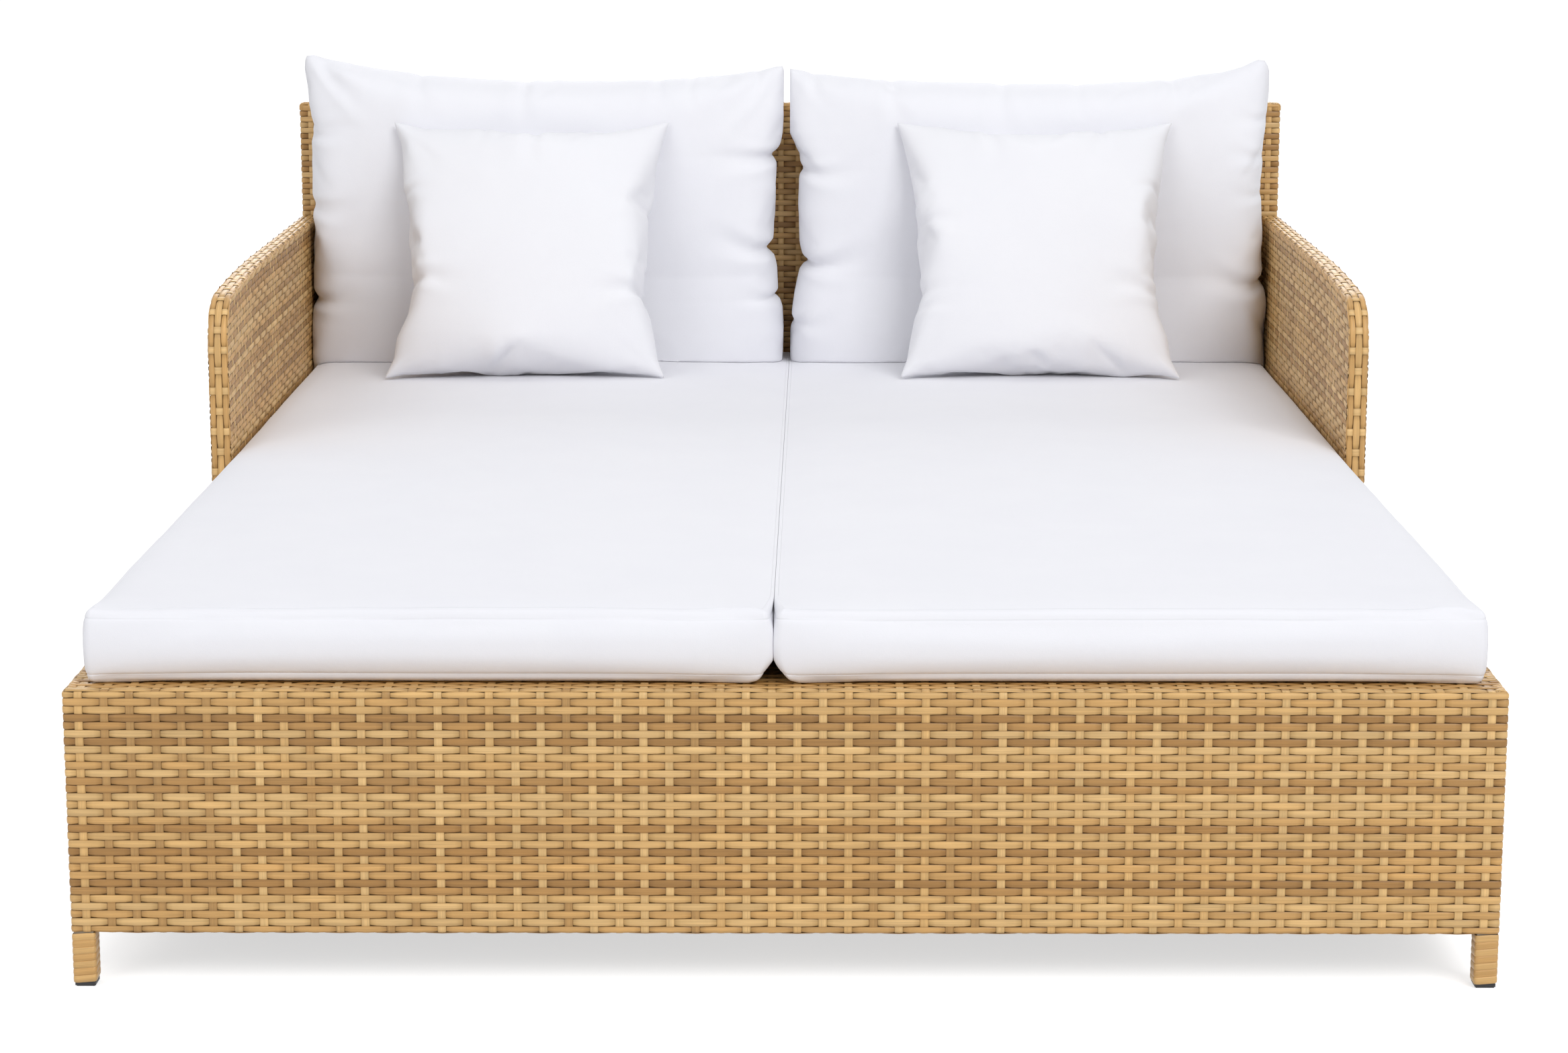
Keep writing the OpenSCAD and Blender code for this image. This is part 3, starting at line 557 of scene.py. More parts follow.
def near_edge(g, v):
    return v < -HALF_D + 0.06 or abs(g) > HALF_W - 0.07 and v < ARM_Y + 0.02


deck_pieces = [
    weave(name, deck_surface, deck_ribs, deck_rows, ends=(-DECK_END, DECK_END),
          row_tones=deck_tones, rib_tones=deck_rib_tones, fine=fine,
          keep=lambda g, v: near_edge(g, v) == fine)
    for name, fine in (("deck_rim", True), ("deck_field", False))]
deck_pieces.append(sheet("deck_behind", deck_surface, (-DECK_END, DECK_END, 30),
                         (-HALF_D + 0.006, HALF_D - 0.006, 36)))
finish_weave(joined("deck_weaving", deck_pieces), ["deck_weave"])


# Arms.
def arm_fall(u):
    return DROOP * np.maximum(0, 1 - u / DROOP_LEN) ** 2


JOIN_A = math.atan(2 * DROOP / DROOP_LEN * (1 - ARM_R / DROOP_LEN))
JOIN_U = ARM_R * (1 - math.sin(JOIN_A))
CORNER_V = ARM_H - float(arm_fall(JOIN_U)) - ARM_R * math.cos(JOIN_A)
outline = [(0, 0)] + arc(ARM_R, CORNER_V, ARM_R, 180, 90 + math.degrees(JOIN_A), 16)
outline += [(u, ARM_H - float(arm_fall(u))) for u in np.linspace(JOIN_U, DROOP_LEN, 10)[1:]]
outline += [(ARM_LEN - 0.001, ARM_H)]
arm_outline = Line(outline)
BAND_R = 0.0045
band = Line([(-0.0095, 0)] + arc(-BAND_R, BAND_R, BAND_R, -90, 0, 5)
            + arc(-BAND_R, PANEL - BAND_R, BAND_R, 0, 90, 5) + [(-0.0095, PANEL)], left=False)
FACE_TOP = 0.0042
middle = band.length / 2
THIRD = 0.0098
STRAP_HALF, STRAP_RISE = 0.0052, 0.0005
LIP_OUT, LIP_HALF = 0.0165, 0.0030
arm_bends = CORNER_V + np.arange(0.002, 0.112, 0.007)


def strap_tones(count):
    """Straps over the edge strands: light, each a little different."""
    return np.tile(LIGHT, (count, 1)) * (1.06 + rng.normal(0, 0.05, (count, 1)))


def edge_place(outline, g, c, d):
    """A place on the band round a panel's outline: along the panel, through it and up."""
    u, v, nu, nv = outline(g)
    off, w, n_off, n_w = band(c)
    out = off + n_off * d
    return u + nu * out, w + n_w * d, v + nv * out


def edge_pieces(name, surface, length, straps, bends, cells):
    """Three strands along a panel's edge with straps over them, a narrow strand on each side of
    them, and the sheet of painted shade behind."""
    ends = (0.0002, length - 0.0002)
    return [
        weave(name, surface, spread(length), middle + np.array([-THIRD, 0, THIRD]), ends=ends,
              rib_tones=strap_tones(straps), row_tones=np.array([MID, PALE, MID]), bends=bends,
              half=THIRD / 2, wide=STRAP_HALF, raised=STRAP_RISE),
        weave(name + "_lips", surface, spread(length), middle + np.array([-LIP_OUT, LIP_OUT]),
              ends=ends, rib_tones=strap_tones(straps), row_tones=np.array([MID] * 4),
              bends=bends, half=LIP_HALF, row_ids=[1, 3]),
        sheet(name + "_behind", surface, (0.0005, length - 0.0005, cells),
              (0.001, band.length - 0.001, 12), -0.0029)]


def clipped(u, v, d):
    """Keeps an arm's face inside its rounded corner, and sinks what would stand beyond it."""
    du, dv = u - ARM_R, v - CORNER_V
    r = np.hypot(du, dv)
    limit = ARM_R - FACE_TOP
    beyond = (du < 0) & (dv > 0) & (r > limit)
    k = np.where(beyond, limit / np.maximum(r, 1e-9), 1)
    return (np.where(beyond, ARM_R + du * k, u), np.where(beyond, CORNER_V + dv * k, v),
            np.where(beyond, np.minimum(d, -0.0016), d))


def arm_face(side, outer):
    def surface(g, v, d):
        top = ARM_H - arm_fall(g)
        height = top * (1 - v / ARM_H)
        u, h, d = clipped(g, height, d)
        w = (PANEL + d) if outer else -d
        return side * (HALF_W - PANEL + w), ARM_Y + u, RIM + h
    return surface


def arm_keep(g, v):
    h = (ARM_H - float(arm_fall(g))) * (1 - v / ARM_H)
    return not (g < ARM_R and h > CORNER_V and math.hypot(g - ARM_R, h - CORNER_V) > ARM_R - 0.005)


face_rows = panel_rows(0.0035, ARM_H - 0.002)
for side, word in SIDES:
    for outer, kind in ((True, "outer"), (False, "inner")):
        surface = arm_face(side, outer)
        woven = weave("arm_%s_%s" % (kind, word), surface, spread(ARM_LEN, ARM_MARGIN), face_rows,
                      ends=(0.0038, ARM_LEN - 0.001), keep=arm_keep)
        behind = sheet("arm_behind", surface, (0.004, ARM_LEN - 0.002, 30),
                       (0.004, ARM_H - 0.001, 16))
        finish_weave(joined("arm_%s_weaving_%s" % (kind, word), [woven, behind]),
                     ["arm_%s_weave_%s" % (kind, word)])

    def edge_surface(g, c, d, side=side):
        along, out, up = edge_place(arm_outline, g, c, d)
        return side * (HALF_W - PANEL + out), ARM_Y + along, RIM + up

    pieces = edge_pieces("arm_rim", edge_surface, arm_outline.length, 60, arm_bends, 160)
    finish_weave(joined("arm_rim_" + word, pieces), ["arm_edge_" + word])

# Backrest: rows run round its front, its posts and its rear; three strands lie along its top.
BACK_Y0 = HALF_D - PANEL
back_plan = rounded_plan(-HALF_W, HALF_W, BACK_Y0, HALF_D, CORNER, 8, 0)
BEND = 0.012


def narrowed(x, z):
    """Draws the panel's ends in where its top corners are round."""
    up = np.clip(z - (RIM + BACK_H - BACK_R), 0, BACK_R)
    ends_in = BACK_R - np.sqrt(np.maximum(BACK_R ** 2 - up ** 2, 0))
    share = np.clip((np.abs(x) - (HALF_W - BEND)) / BEND, 0, 1)
    return x - np.sign(x) * share * ends_in


def back_surface(g, v, d):
    x, y, nx, ny = back_plan(g)
    z = RIM + BACK_H - v
    return narrowed(x + nx * d, z), y + ny * d, z + 0 * d


panel_ribs = spread(2 * HALF_W, FRONT_MARGIN)
back_ribs = np.concatenate([
    EIGHTH + panel_ribs - CORNER,
    [EIGHTH * 2 + FLAT_W + PANEL / 2 - CORNER + EIGHTH],
    EIGHTH * 5 + FLAT_W + FLAT_T + panel_ribs - CORNER,
    [EIGHTH * 7 + 2 * FLAT_W + FLAT_T + PANEL / 2 - CORNER],
])
back_rows = panel_rows(0.0042, BACK_H - 0.003)
back_tones = strand_tones(len(back_rows))
back_rib_tones = stake_tones(len(back_ribs))
front_end = EIGHTH * 2 + FLAT_W
rear_start = front_end + EIGHTH * 2 + FLAT_T
rear_end = rear_start + FLAT_W + EIGHTH * 2


def back_part(name, keep, *spans):
    """The backrest's weave as far as it is kept, with a sheet of painted shade per span along it.
    """
    woven = weave(name, back_surface, back_ribs, back_rows, closed=back_plan.length,
                  bends=corner_bends(FLAT_W, FLAT_T), row_tones=back_tones,
                  rib_tones=back_rib_tones, keep=lambda g, v: keep(g % back_plan.length))
    return [woven] + [sheet("back_behind", back_surface, span, (0.006, BACK_H - 0.001, 18))
                      for span in spans]


for name, keep, span in (
    ("front", lambda g: g < front_end, (0.004, front_end - 0.004, 40)),
    ("rear", lambda g: rear_start - EIGHTH <= g < rear_end, (rear_start, rear_end, 40)),
):
    woven = back_part("back_%s_weaving" % name, keep, span)
    finish_weave(joined("back_%s_weaving" % name, woven), ["back_%s_weave" % name])
posts = back_part("back_posts", lambda g: front_end <= g < rear_start - EIGHTH or g >= rear_end,
                  (front_end - 0.006, rear_start + 0.006, 8),
                  (rear_end - 0.006, back_plan.length + 0.003, 8))
back_outline = Line([(-HALF_W, BACK_H - BEND)]
                    + arc(-HALF_W + BACK_R, BACK_H - BACK_R, BACK_R, 180, 90, 6)
                    + arc(HALF_W - BACK_R, BACK_H - BACK_R, BACK_R, 90, 0, 6)
                    + [(HALF_W, BACK_H - BEND)])


def back_edge_surface(g, c, d):
    along, out, up = edge_place(back_outline, g, c, d)
    return along, BACK_Y0 + out, RIM + up


edge_bends = np.arange(0.005, 0.018, 0.0025)
edge_bends = np.concatenate([edge_bends, back_outline.length - edge_bends])
top_pieces = edge_pieces("back_top", back_edge_surface, back_outline.length, 70, edge_bends, 120)
finish_weave(joined("back_rim", posts[:1] + top_pieces + posts[1:]), ["back_edge"])


# Legs: one strand wound round each tube, with a rounded face and a slight climb.
TURNS, STEPS = 7, 44
LEG_X, LEG_Y = 0.7856, 0.9856
WOUND_HALF, WOUND_R, WOUND_FOOT = 0.0130, 0.0032, 0.005
wound = rounded_plan(-WOUND_HALF, WOUND_HALF, -WOUND_HALF, WOUND_HALF, WOUND_R, 6, 2)


def wound_leg(name, cx, cy, node):
    pitch = (CLEAR - WOUND_FOOT) / TURNS
    g = np.linspace(0, wound.length * TURNS, STEPS * TURNS + 1)
    climb = np.clip(WOUND_FOOT + pitch / 2 + pitch * (g / wound.length - 0.5),
                    WOUND_FOOT + pitch * 0.45, CLEAR - pitch * 0.45)
    across = np.array([-1, -0.8, 0, 0.8, 1])
    out = np.array([-0.0006, 0.0002, 0.0005, 0.0002, -0.0006])
    gg = np.repeat(g[:, None], 5, axis=1)
    z = climb[:, None] + across * pitch * 0.52
    x, y, nx, ny = wound(gg + 0.01)
    points = stacked(cx + x + nx * out, cy + y + ny * out, z)
    turn = np.minimum((gg / wound.length).astype(int), TURNS - 1)
    shades = np.array([(PALE, MID)[k % 2] for k in range(TURNS)])
    shades *= 1 + rng.normal(0, 0.03, (TURNS, 1))
    piece = add_mesh(name, points, grid_faces(1, len(g), 5, False), strand,
                     shades[turn.ravel()], stacked(gg, across * pitch / 2, 3.0 + cx))
    finish_weave(piece, [node])


for side, word in SIDES:
    for end, place in ((-1, "front"), (1, "rear")):
        wound_leg("leg_winding_%s_%s" % (place, word), side * LEG_X, end * LEG_Y,
                  "leg_wrap_%s_%s" % (place, word))

# Cushions.
SEAT_Z, SEAT_H, SEAT_CROWN, SEAT_R = 0.3434, 0.084, 0.0105, 0.009
CUSHION_GAP = 0.0006
SEAT_X = HALF_W - PANEL - CUSHION_GAP
SEAT_FRONT, SEAT_BACK = -0.973, 0.9706
# How far the split between the seats runs to the left at the front, and how much wider a seat is
# at the front than between the arms.
SPLIT, GROWTH = 0.013, 0.0085
SEAT_WIDTH, SEAT_LENGTH = SEAT_X - SPLIT / 2, SEAT_BACK - SEAT_FRONT


def unit(x):
    return np.clip(x, 0, 1)


def bell(x, width):
    return np.exp(-(x / width) ** 2)


def split_x(y):
    return -SPLIT * (SEAT_BACK - y) / SEAT_LENGTH


def seat_growth(y):
    return GROWTH * unit((ARM_Y - 0.012 - y) / (ARM_Y - SEAT_FRONT))


def smooth_noise(x, y, seed, size):
    """Soft waves: a few sine waves of random direction and phase."""
    r = np.random.default_rng(seed)
    total = np.zeros_like(np.asarray(x, float))
    for _ in range(6):
        angle = r.uniform(0, 2 * math.pi)
        k = 2 * math.pi / (size * r.uniform(0.7, 1.5))
        total = total + np.sin(k * (math.cos(angle) * x + math.sin(angle) * y) + r.uniform(0, 6.28))
    return total / 6


def points_of(mesh):
    co = np.empty(len(mesh.vertices) * 3)
    mesh.vertices.foreach_get("co", co)
    return co.reshape(-1, 3)


def set_coordinates(piece, co):
    piece.data.vertices.foreach_set("co", np.asarray(co, float).ravel())
    piece.data.update()


def refined(piece):
    """Applies one level of subdivision."""
    piece.modifiers.new("Subdivision", "SUBSURF").levels = 1
    graph = bpy.context.evaluated_depsgraph_get()
    mesh = bpy.data.meshes.new_from_object(piece.evaluated_get(graph))
    piece.modifiers.clear()
    old = piece.data
    piece.data = mesh
    bpy.data.meshes.remove(old)


def simulated(piece):
    """The points of a piece as its modifiers leave them."""
    made = piece.evaluated_get(bpy.context.evaluated_depsgraph_get())
    co = points_of(made.to_mesh())
    made.to_mesh_clear()
    return co


def blown(piece, pressure, frames, bending, stiffness, thick=None, cap=None):
    """Blows a closed mesh up as cloth and keeps the result: until it is thick enough, or for a
    number of frames, with no point moved further than the cap."""
    before = points_of(piece.data)
    item = piece.modifiers.new("Cloth", "CLOTH")
    cloth = item.settings
    cloth.quality = 5
    cloth.mass = 0.3
    cloth.air_damping = 4
    cloth.tension_stiffness = stiffness
    cloth.compression_stiffness = stiffness
    cloth.shear_stiffness = stiffness / 3
    cloth.bending_stiffness = bending
    cloth.use_pressure = True
    cloth.uniform_pressure_force = pressure
    cloth.effector_weights.gravity = 0
    item.collision_settings.use_collision = False
    item.point_cache.frame_start = 1
    item.point_cache.frame_end = frames
    for number in range(1, frames + 1):
        bpy.context.scene.frame_set(number)
        after = simulated(piece)
        if thick and np.ptp(after[:, 1]) >= thick:
            break
    piece.modifiers.clear()
    bpy.context.scene.frame_set(1)
    move = after - before
    if cap is not None:
        move *= np.minimum(1, cap / np.maximum(np.linalg.norm(move, axis=1), 1e-9))[:, None]
    set_coordinates(piece, before + move)


def shell(rows, cols):
    """Faces of a closed form: two sheets of rows by cols points that share their border. The
    second sheet holds only its inner points, which are the ones marked."""
    index = -np.ones((rows, cols), int)
    front = np.arange(rows * cols).reshape(rows, cols)
    inner = np.zeros((rows, cols), bool)
    inner[1:-1, 1:-1] = True
    index[~inner] = front[~inner]
    index[inner] = rows * cols + np.arange(inner.sum())
    return np.vstack([quads_of(front), quads_of(index, True)]), inner


def bag(name, width, height, cells_x, cells_z, material, seed):
    """A flat two-sided bag standing in the XZ plane with its front towards -Y. Its points carry
    their places from -1 to 1, across and upwards."""
    rows, cols = cells_z + 1, cells_x + 1
    b, a = np.meshgrid(np.linspace(-1, 1, rows), np.linspace(-1, 1, cols), indexing="ij")
    faces, inner = shell(rows, cols)
    x, z = a * width / 2, b * height / 2
    swell = 0.017 * np.sqrt(np.maximum(0, (1 - a ** 2) * (1 - b ** 2)))
    wave = 0.0012 * smooth_noise(x, z, seed, 0.12)
    rear = stacked(x, swell + wave, z)[inner.ravel()]
    piece = add_mesh(name, np.vstack([stacked(x, wave - swell, z), rear]), faces, material)
    for key, values in (("across", a), ("upwards", b)):
        layer = piece.data.attributes.new(key, "FLOAT", "POINT")
        layer.data.foreach_set("value", np.concatenate([values.ravel(), values[inner]]))
    return piece


def place_in_bag(piece, key):
    """The places that a bag's points had when it was flat, also of points added since."""
    values = np.empty(len(piece.data.vertices))
    piece.data.attributes[key].data.foreach_get("value", values)
    return values


def fitted(co, a, b, outline, wiggle):
    """Moves a bag's border onto an outline and blends that into the bag. The outline gives the
    wanted x of the low and high sides by z, and the wanted z of the bottom and top by x. A
    share of the border's own small waves stays."""
    for axis, other, along, across in ((0, 2, b, a), (2, 0, a, b)):
        for end in (-1, 1):
            wanted = outline.get((axis, end))
            if wanted is None:
                continue
            edge = np.nonzero(np.abs(across - end) < 1e-5)[0]
            edge = edge[np.argsort(along[edge])]
            now = co[edge, axis]
            width = 17
            padded = np.pad(now, width // 2, mode="edge")
            calm = np.convolve(padded, np.ones(width) / width, mode="valid")
            places = np.array(sorted(wanted))
            goal = np.interp(co[edge, other], places[:, 0], places[:, 1]) + wiggle * (now - calm)
            shift = np.interp(along, along[edge], goal - now)
            co[:, axis] += shift * ((1 + end * across) / 2) ** 2
    return co


def round_corners(co, a, b, start, size):
    """Rounds a bag's corners off. Rounding starts at a share of the way from middle to seam."""
    past = [np.maximum(np.abs(k) - start, 0) for k in (a, b)]
    far = np.hypot(*past)
    cut = 1 - np.minimum(1, (1 - start) / np.maximum(far, 1e-9))
    for axis, k, over, length in ((0, a, past[0], size[0]), (2, b, past[1], size[1])):
        co[:, axis] -= np.sign(k) * over * cut * length / 2
    return co


def tucked(co, folds):
    """Presses folds into both sides of a cushion: each has a start on the seam, a direction in
    degrees, a length, a width and a depth."""
    for x, z, angle, length, width, depth in folds:
        dx, dz = math.cos(math.radians(angle)), math.sin(math.radians(angle))
        s = (co[:, 0] - x) * dx + (co[:, 2] - z) * dz
        c = -(co[:, 0] - x) * dz + (co[:, 2] - z) * dx
        c = c + 0.10 * s * np.sin(s / length * 4 + x * 40)
        fade = unit(1 - s / length) ** 1.3 * unit(1 + s / 0.02)
        spread_out = width * (0.6 + 0.7 * unit(s / length))
        ridge = bell(np.abs(c) - 1.9 * spread_out, spread_out)
        push = depth * fade * (bell(c, spread_out) - 0.45 * ridge)
        outward = np.clip(co[:, 1] / 0.02, -1, 1)
        co[:, 1] -= outward * push
        notch = bell(s, 0.012) * bell(c, 0.7 * width)
        co[:, 0] += dx * 0.5 * depth * notch
        co[:, 2] += dz * 0.5 * depth * notch
    return co


def keep_clear(co, other, axis, sign, reach=0.5):
    """Moves points of a cushion that lie inside or behind another one back to its face."""
    tree = BVHTree.FromObject(other, bpy.context.evaluated_depsgraph_get())
    ray = Vector([0, 0, 0])
    ray[axis] = -sign
    for i, p in enumerate(co):
        start = Vector(p)
        start[axis] += sign * reach
        hit = tree.ray_cast(start, ray, reach * 2)[0]
        if hit is not None and (p[axis] - hit[axis] - sign * CUSHION_GAP) * sign < 0:
            co[i, axis] = hit[axis] + sign * CUSHION_GAP
    return co


# Points along a seat cushion's border: on its short sides, its long sides and its corners.
SEAT_SHORT, SEAT_LONG, SEAT_BEND = 54, 112, 8


def seat_border():
    """A seat cushion's border in plan, anticlockwise from its first corner, and its normals."""
    corner, w, h = 0.010, SEAT_WIDTH, SEAT_LENGTH
    border = []
    for start, end, centre, turn, steps in (
        ((corner, 0), (w - corner, 0), (w - corner, corner), -90, SEAT_SHORT),
        ((w, corner), (w, h - corner), (w - corner, h - corner), 0, SEAT_LONG),
        ((w - corner, h), (corner, h), (corner, h - corner), 90, SEAT_SHORT),
        ((0, h - corner), (0, corner), (corner, corner), 180, SEAT_LONG),
    ):
        border += [tuple(np.add(start, np.subtract(end, start) * k / steps)) for k in range(steps)]
        border += arc(*centre, corner, turn, turn + 90, SEAT_BEND)[:-1]
    border = np.roll(np.array(border), SEAT_BEND // 2, axis=0)
    ahead = np.roll(border, -1, axis=0) - np.roll(border, 1, axis=0)
    ahead /= np.linalg.norm(ahead, axis=1)[:, None]
    return border, np.column_stack([-ahead[:, 1], ahead[:, 0]])


def seat_profile():
    """Inset and height of the side's rings, with a sewn line near its foot and near its top."""
    low_r, base, seam, bulge = 0.008, 0.0016, 0.0013, 0.0042
    quarter = np.radians(np.linspace(0, 90, 5))
    low, high = low_r, SEAT_H - SEAT_R
    rings = [(low_r * (1 - math.sin(a)) + base, low_r * (1 - math.cos(a))) for a in quarter]
    for z in np.concatenate([[low + 0.0008, low + 0.0016, low + 0.0026],
                             np.linspace(low + 0.006, high - 0.006, 8),
                             [high - 0.0026, high - 0.0016, high - 0.0006]]):
        line = seam if min(abs(z - low - 0.0016), abs(z - high + 0.0016)) < 1e-6 else 0
        rings.append((base + line - bulge * math.sin(math.pi * (z - low) / (high - low)) ** 0.7, z))
    return rings + [(base + SEAT_R * (1 - math.cos(a)), SEAT_H - SEAT_R * (1 - math.sin(a)))
                    for a in quarter]


def patch(loop, n, m):
    """Points inside a loop of 2 (n + m) border points, in rows from its first corner."""
    grid = np.zeros((m + 1, n + 1, 2))
    grid[0] = loop[:n + 1]
    grid[:, n] = loop[n:n + m + 1]
    grid[m] = loop[n + m:2 * n + m + 1][::-1]
    grid[:, 0] = np.vstack([loop[2 * n + m:], loop[:1]])[::-1]
    u, v = np.linspace(0, 1, n + 1)[None, :, None], np.linspace(0, 1, m + 1)[:, None, None]
    corners = ((1 - u) * (1 - v) * grid[0, 0] + u * (1 - v) * grid[0, n]
               + (1 - u) * v * grid[m, 0] + u * v * grid[m, n])
    filled = ((1 - v) * grid[0][None] + v * grid[m][None]
              + (1 - u) * grid[:, :1] + u * grid[:, n:] - corners)
    return filled[1:-1, 1:-1].reshape(-1, 2)


def seat_skin():
    """Points and faces of a seat cushion as one closed skin: its side in rings, and a grid of
    squares over its bottom and its top."""
    border, inward = seat_border()
    count = len(border)
    n, m = SEAT_SHORT + SEAT_BEND, SEAT_LONG + SEAT_BEND
    profile = seat_profile()
    points = [np.column_stack([border + inward * a, np.full(count, z)]) for a, z in profile]
    side = grid_faces(1, len(profile), count, False)
    last = (np.arange(len(profile) - 1) * count + count - 1)[:, None]
    faces = [side, last + np.array([0, 1 - count, 1, count])]
    ring = np.zeros((m + 1, n + 1), int)
    ring[0] = np.arange(n + 1)
    ring[:, n] = np.arange(n, n + m + 1)
    ring[m] = np.arange(n + m, 2 * n + m + 1)[::-1]
    ring[:, 0] = np.append(np.arange(2 * n + m, count), 0)[::-1]
    for level, turn in ((0, True), (len(profile) - 1, False)):
        start = sum(len(x) for x in points)
        inner = patch(points[level][:, :2], n, m)
        index = ring + level * count
        index[1:-1, 1:-1] = start + np.arange(len(inner)).reshape(m - 1, n - 1)
        points.append(np.column_stack([inner, np.full(len(inner), profile[level][1])]))
        faces.append(quads_of(index, turn))
    return np.vstack(points), np.vstack(faces)


def seat_cushion(side, word):
    points, faces = seat_skin()
    across, along, up = points.T
    share, q = unit(across / SEAT_WIDTH), unit(along / SEAT_LENGTH)
    near = ((1 - share) if side < 0 else share) * SEAT_WIDTH
    # At the split the cushions touch and their edges are crisp, but for the front corners.
    crisp = 0.93 * unit((0.020 - near) / 0.006) * (1 - bell(along, 0.045))
    rounded = up >= SEAT_H - SEAT_R - 1e-6
    up = np.where(rounded, SEAT_H - (SEAT_H - up) * (1 - crisp), up)
    y = SEAT_FRONT + along
    low = -SEAT_X if side < 0 else split_x(y)
    high = split_x(y) if side < 0 else SEAT_X
    x = low + (high - low) * across / SEAT_WIDTH
    x = x - side * crisp * np.where(rounded, np.minimum(near, 0.0075), 0.0012)
    # In front of the arms the seats grow wider.
    x = x + side * unit(1 - (SEAT_WIDTH - near) / 0.25) * seat_growth(y)
    lift = unit((up - 0.02) / (SEAT_H - 0.02))
    crown = SEAT_CROWN * (1 - (2 * share - 1) ** 2) * (1 - (1 - q) ** 8)
    waves = (0.0016 * smooth_noise(x, y, 3 + side, 0.42)
             + 0.0005 * smooth_noise(x, y, 12 + side, 0.12))
    z = SEAT_Z + up + lift * (crown + waves * unit(near / 0.1))
    y = y + 0.004 * (1 - (2 * share - 1) ** 2) * (1 - q) ** 8
    # The front corners at the split leave a notch above and a dark triangle on the deck.
    close = unit(1 - near / 0.032)
    front = bell(along, 0.55)
    x = x + side * 0.0135 * close * unit(1 - up / 0.032) ** 1.2 * (0.35 + 0.65 * front)
    x = x + side * 0.0030 * close * unit((up - 0.048) / 0.036) * bell(along, 0.035)
    x = x + side * 0.0007 * close * np.sin(up * 210 + side)
    z = z + 0.004 * close ** 2 * unit(1 - up / 0.03) * front
    piece = add_mesh("seat_pad_" + word, stacked(x, y, z), faces, cushion_cloth)
    blown(piece, pressure=2.5, frames=8, bending=2.0, stiffness=25.0,
          cap=0.003 * np.clip(near / 0.03, 0.05, 1))
    refined(piece)
    co = points_of(piece.data)
    wide = SEAT_X + 0.0001 + seat_growth(co[:, 1])
    limit = split_x(co[:, 1]) + side * 0.00015
    co[:, 0] = np.clip(co[:, 0], *((-wide, limit) if side < 0 else (limit, wide)))
    co[:, 1] = np.minimum(co[:, 1], SEAT_BACK)
    co[:, 2] = np.maximum(co[:, 2], SEAT_Z)
    set_coordinates(piece, co)
    return piece


def in_mm(text, powers=("e-3", "e-3")):
    """The rows of a table whose lengths are in millimetres, as metres."""
    return [tuple(float(word + power) for word, power in zip(row.split(), powers))
            for row in text.split(",")]


# Outlines, by axis and end: x of the low and high sides by z, and z of the bottom and top by x.
BACK_SIDES = {
    -1: {
        (0, -1): in_mm("""
            300 -752, 360 -764, 420 -770.5, 454 -770.5, 487 -770, 515 -765, 530 -759, 545 -764,
            620 -763, 640 -761.5, 665 -762.5, 678 -759, 690 -763, 770 -763, 785 -762, 794 -759,
            806 -763, 850 -768, 876 -772, 895 -770, 919 -757.7"""),
        (0, 1): in_mm("""
            300 -30, 360 -14, 400 -6, 480 -3, 515 -5, 530 -9.7, 534 -16.5, 542 -12, 580 -14,
            598 -18, 612 -28, 625 -20, 681 -16.8, 744 -14.3, 752 -16, 759 -20.5, 767 -12, 775 -8,
            790 -5, 820 -3, 890 -3, 903 -4.3"""),
        (2, 1): in_mm("""
            -757.7 919, -725 910.5, -660 898, -580 887.2, -480 880, -380 877.5, -280 877.5,
            -180 880.5, -90 887.5, -35 896, -4.3 903"""),
    },
    1: {
        (0, -1): in_mm("""
            300 35, 360 18, 400 9, 446 7.6, 485 8.8, 495 11, 505 10, 542 15, 576 22.7, 584 27.5,
            589 34.6, 597 27, 620 22.7, 676 20.5, 719 21.5, 730 22.7, 739 26.7, 748 23.5,
            761 22.7, 775 15, 795 6.5, 815 4, 870 3.6, 898.5 4.5"""),
        (0, 1): in_mm("""
            300 758, 360 772, 420 778, 515 777, 545 773.5, 556 768, 561 763, 566 768, 576 771.5,
            591 769.5, 637 769.5, 683 767, 714 764, 729 766, 760 768.5, 790 771.5, 820.8 773.5,
            850 776, 880 775.5, 911.6 764"""),
        (2, 1): in_mm("""
            4.5 898.5, 50 889.5, 110 882.5, 190 877.5, 300 874.5, 400 873, 466 872.7, 550 875.2,
            630 881.5, 700 892, 735 902, 756 911.6"""),
    },
}
PILLOW_SIDES = {
    (0, -1): in_mm("""
        -215 -218, -185 -204, -152 -200, -113 -185, -85 -181.5, -63 -176.5, -45 -181, -19 -182,
        59 -187.5, 120 -198, 178 -205, 216 -218"""),
    (0, 1): in_mm("""
        -213 215, -185 205, -157 200.6, -118.5 193, -100 186, -85 178, -70 181.5, -41 182,
        14 187, 59 187, 131 197, 178 207.6, 216 218"""),
    (2, 1): in_mm("""
        -218 216, -170 204.5, -110 195, -50 188.5, 0 187.2, 12 185.5, 25 187.5, 70 190, 120 196,
        170 205, 218 216"""),
    (2, -1): in_mm("""
        -218 -215, -190 -208, -140 -204.5, -50 -202.5, 50 -202, 140 -204.5, 190 -208, 215 -213"""),
}
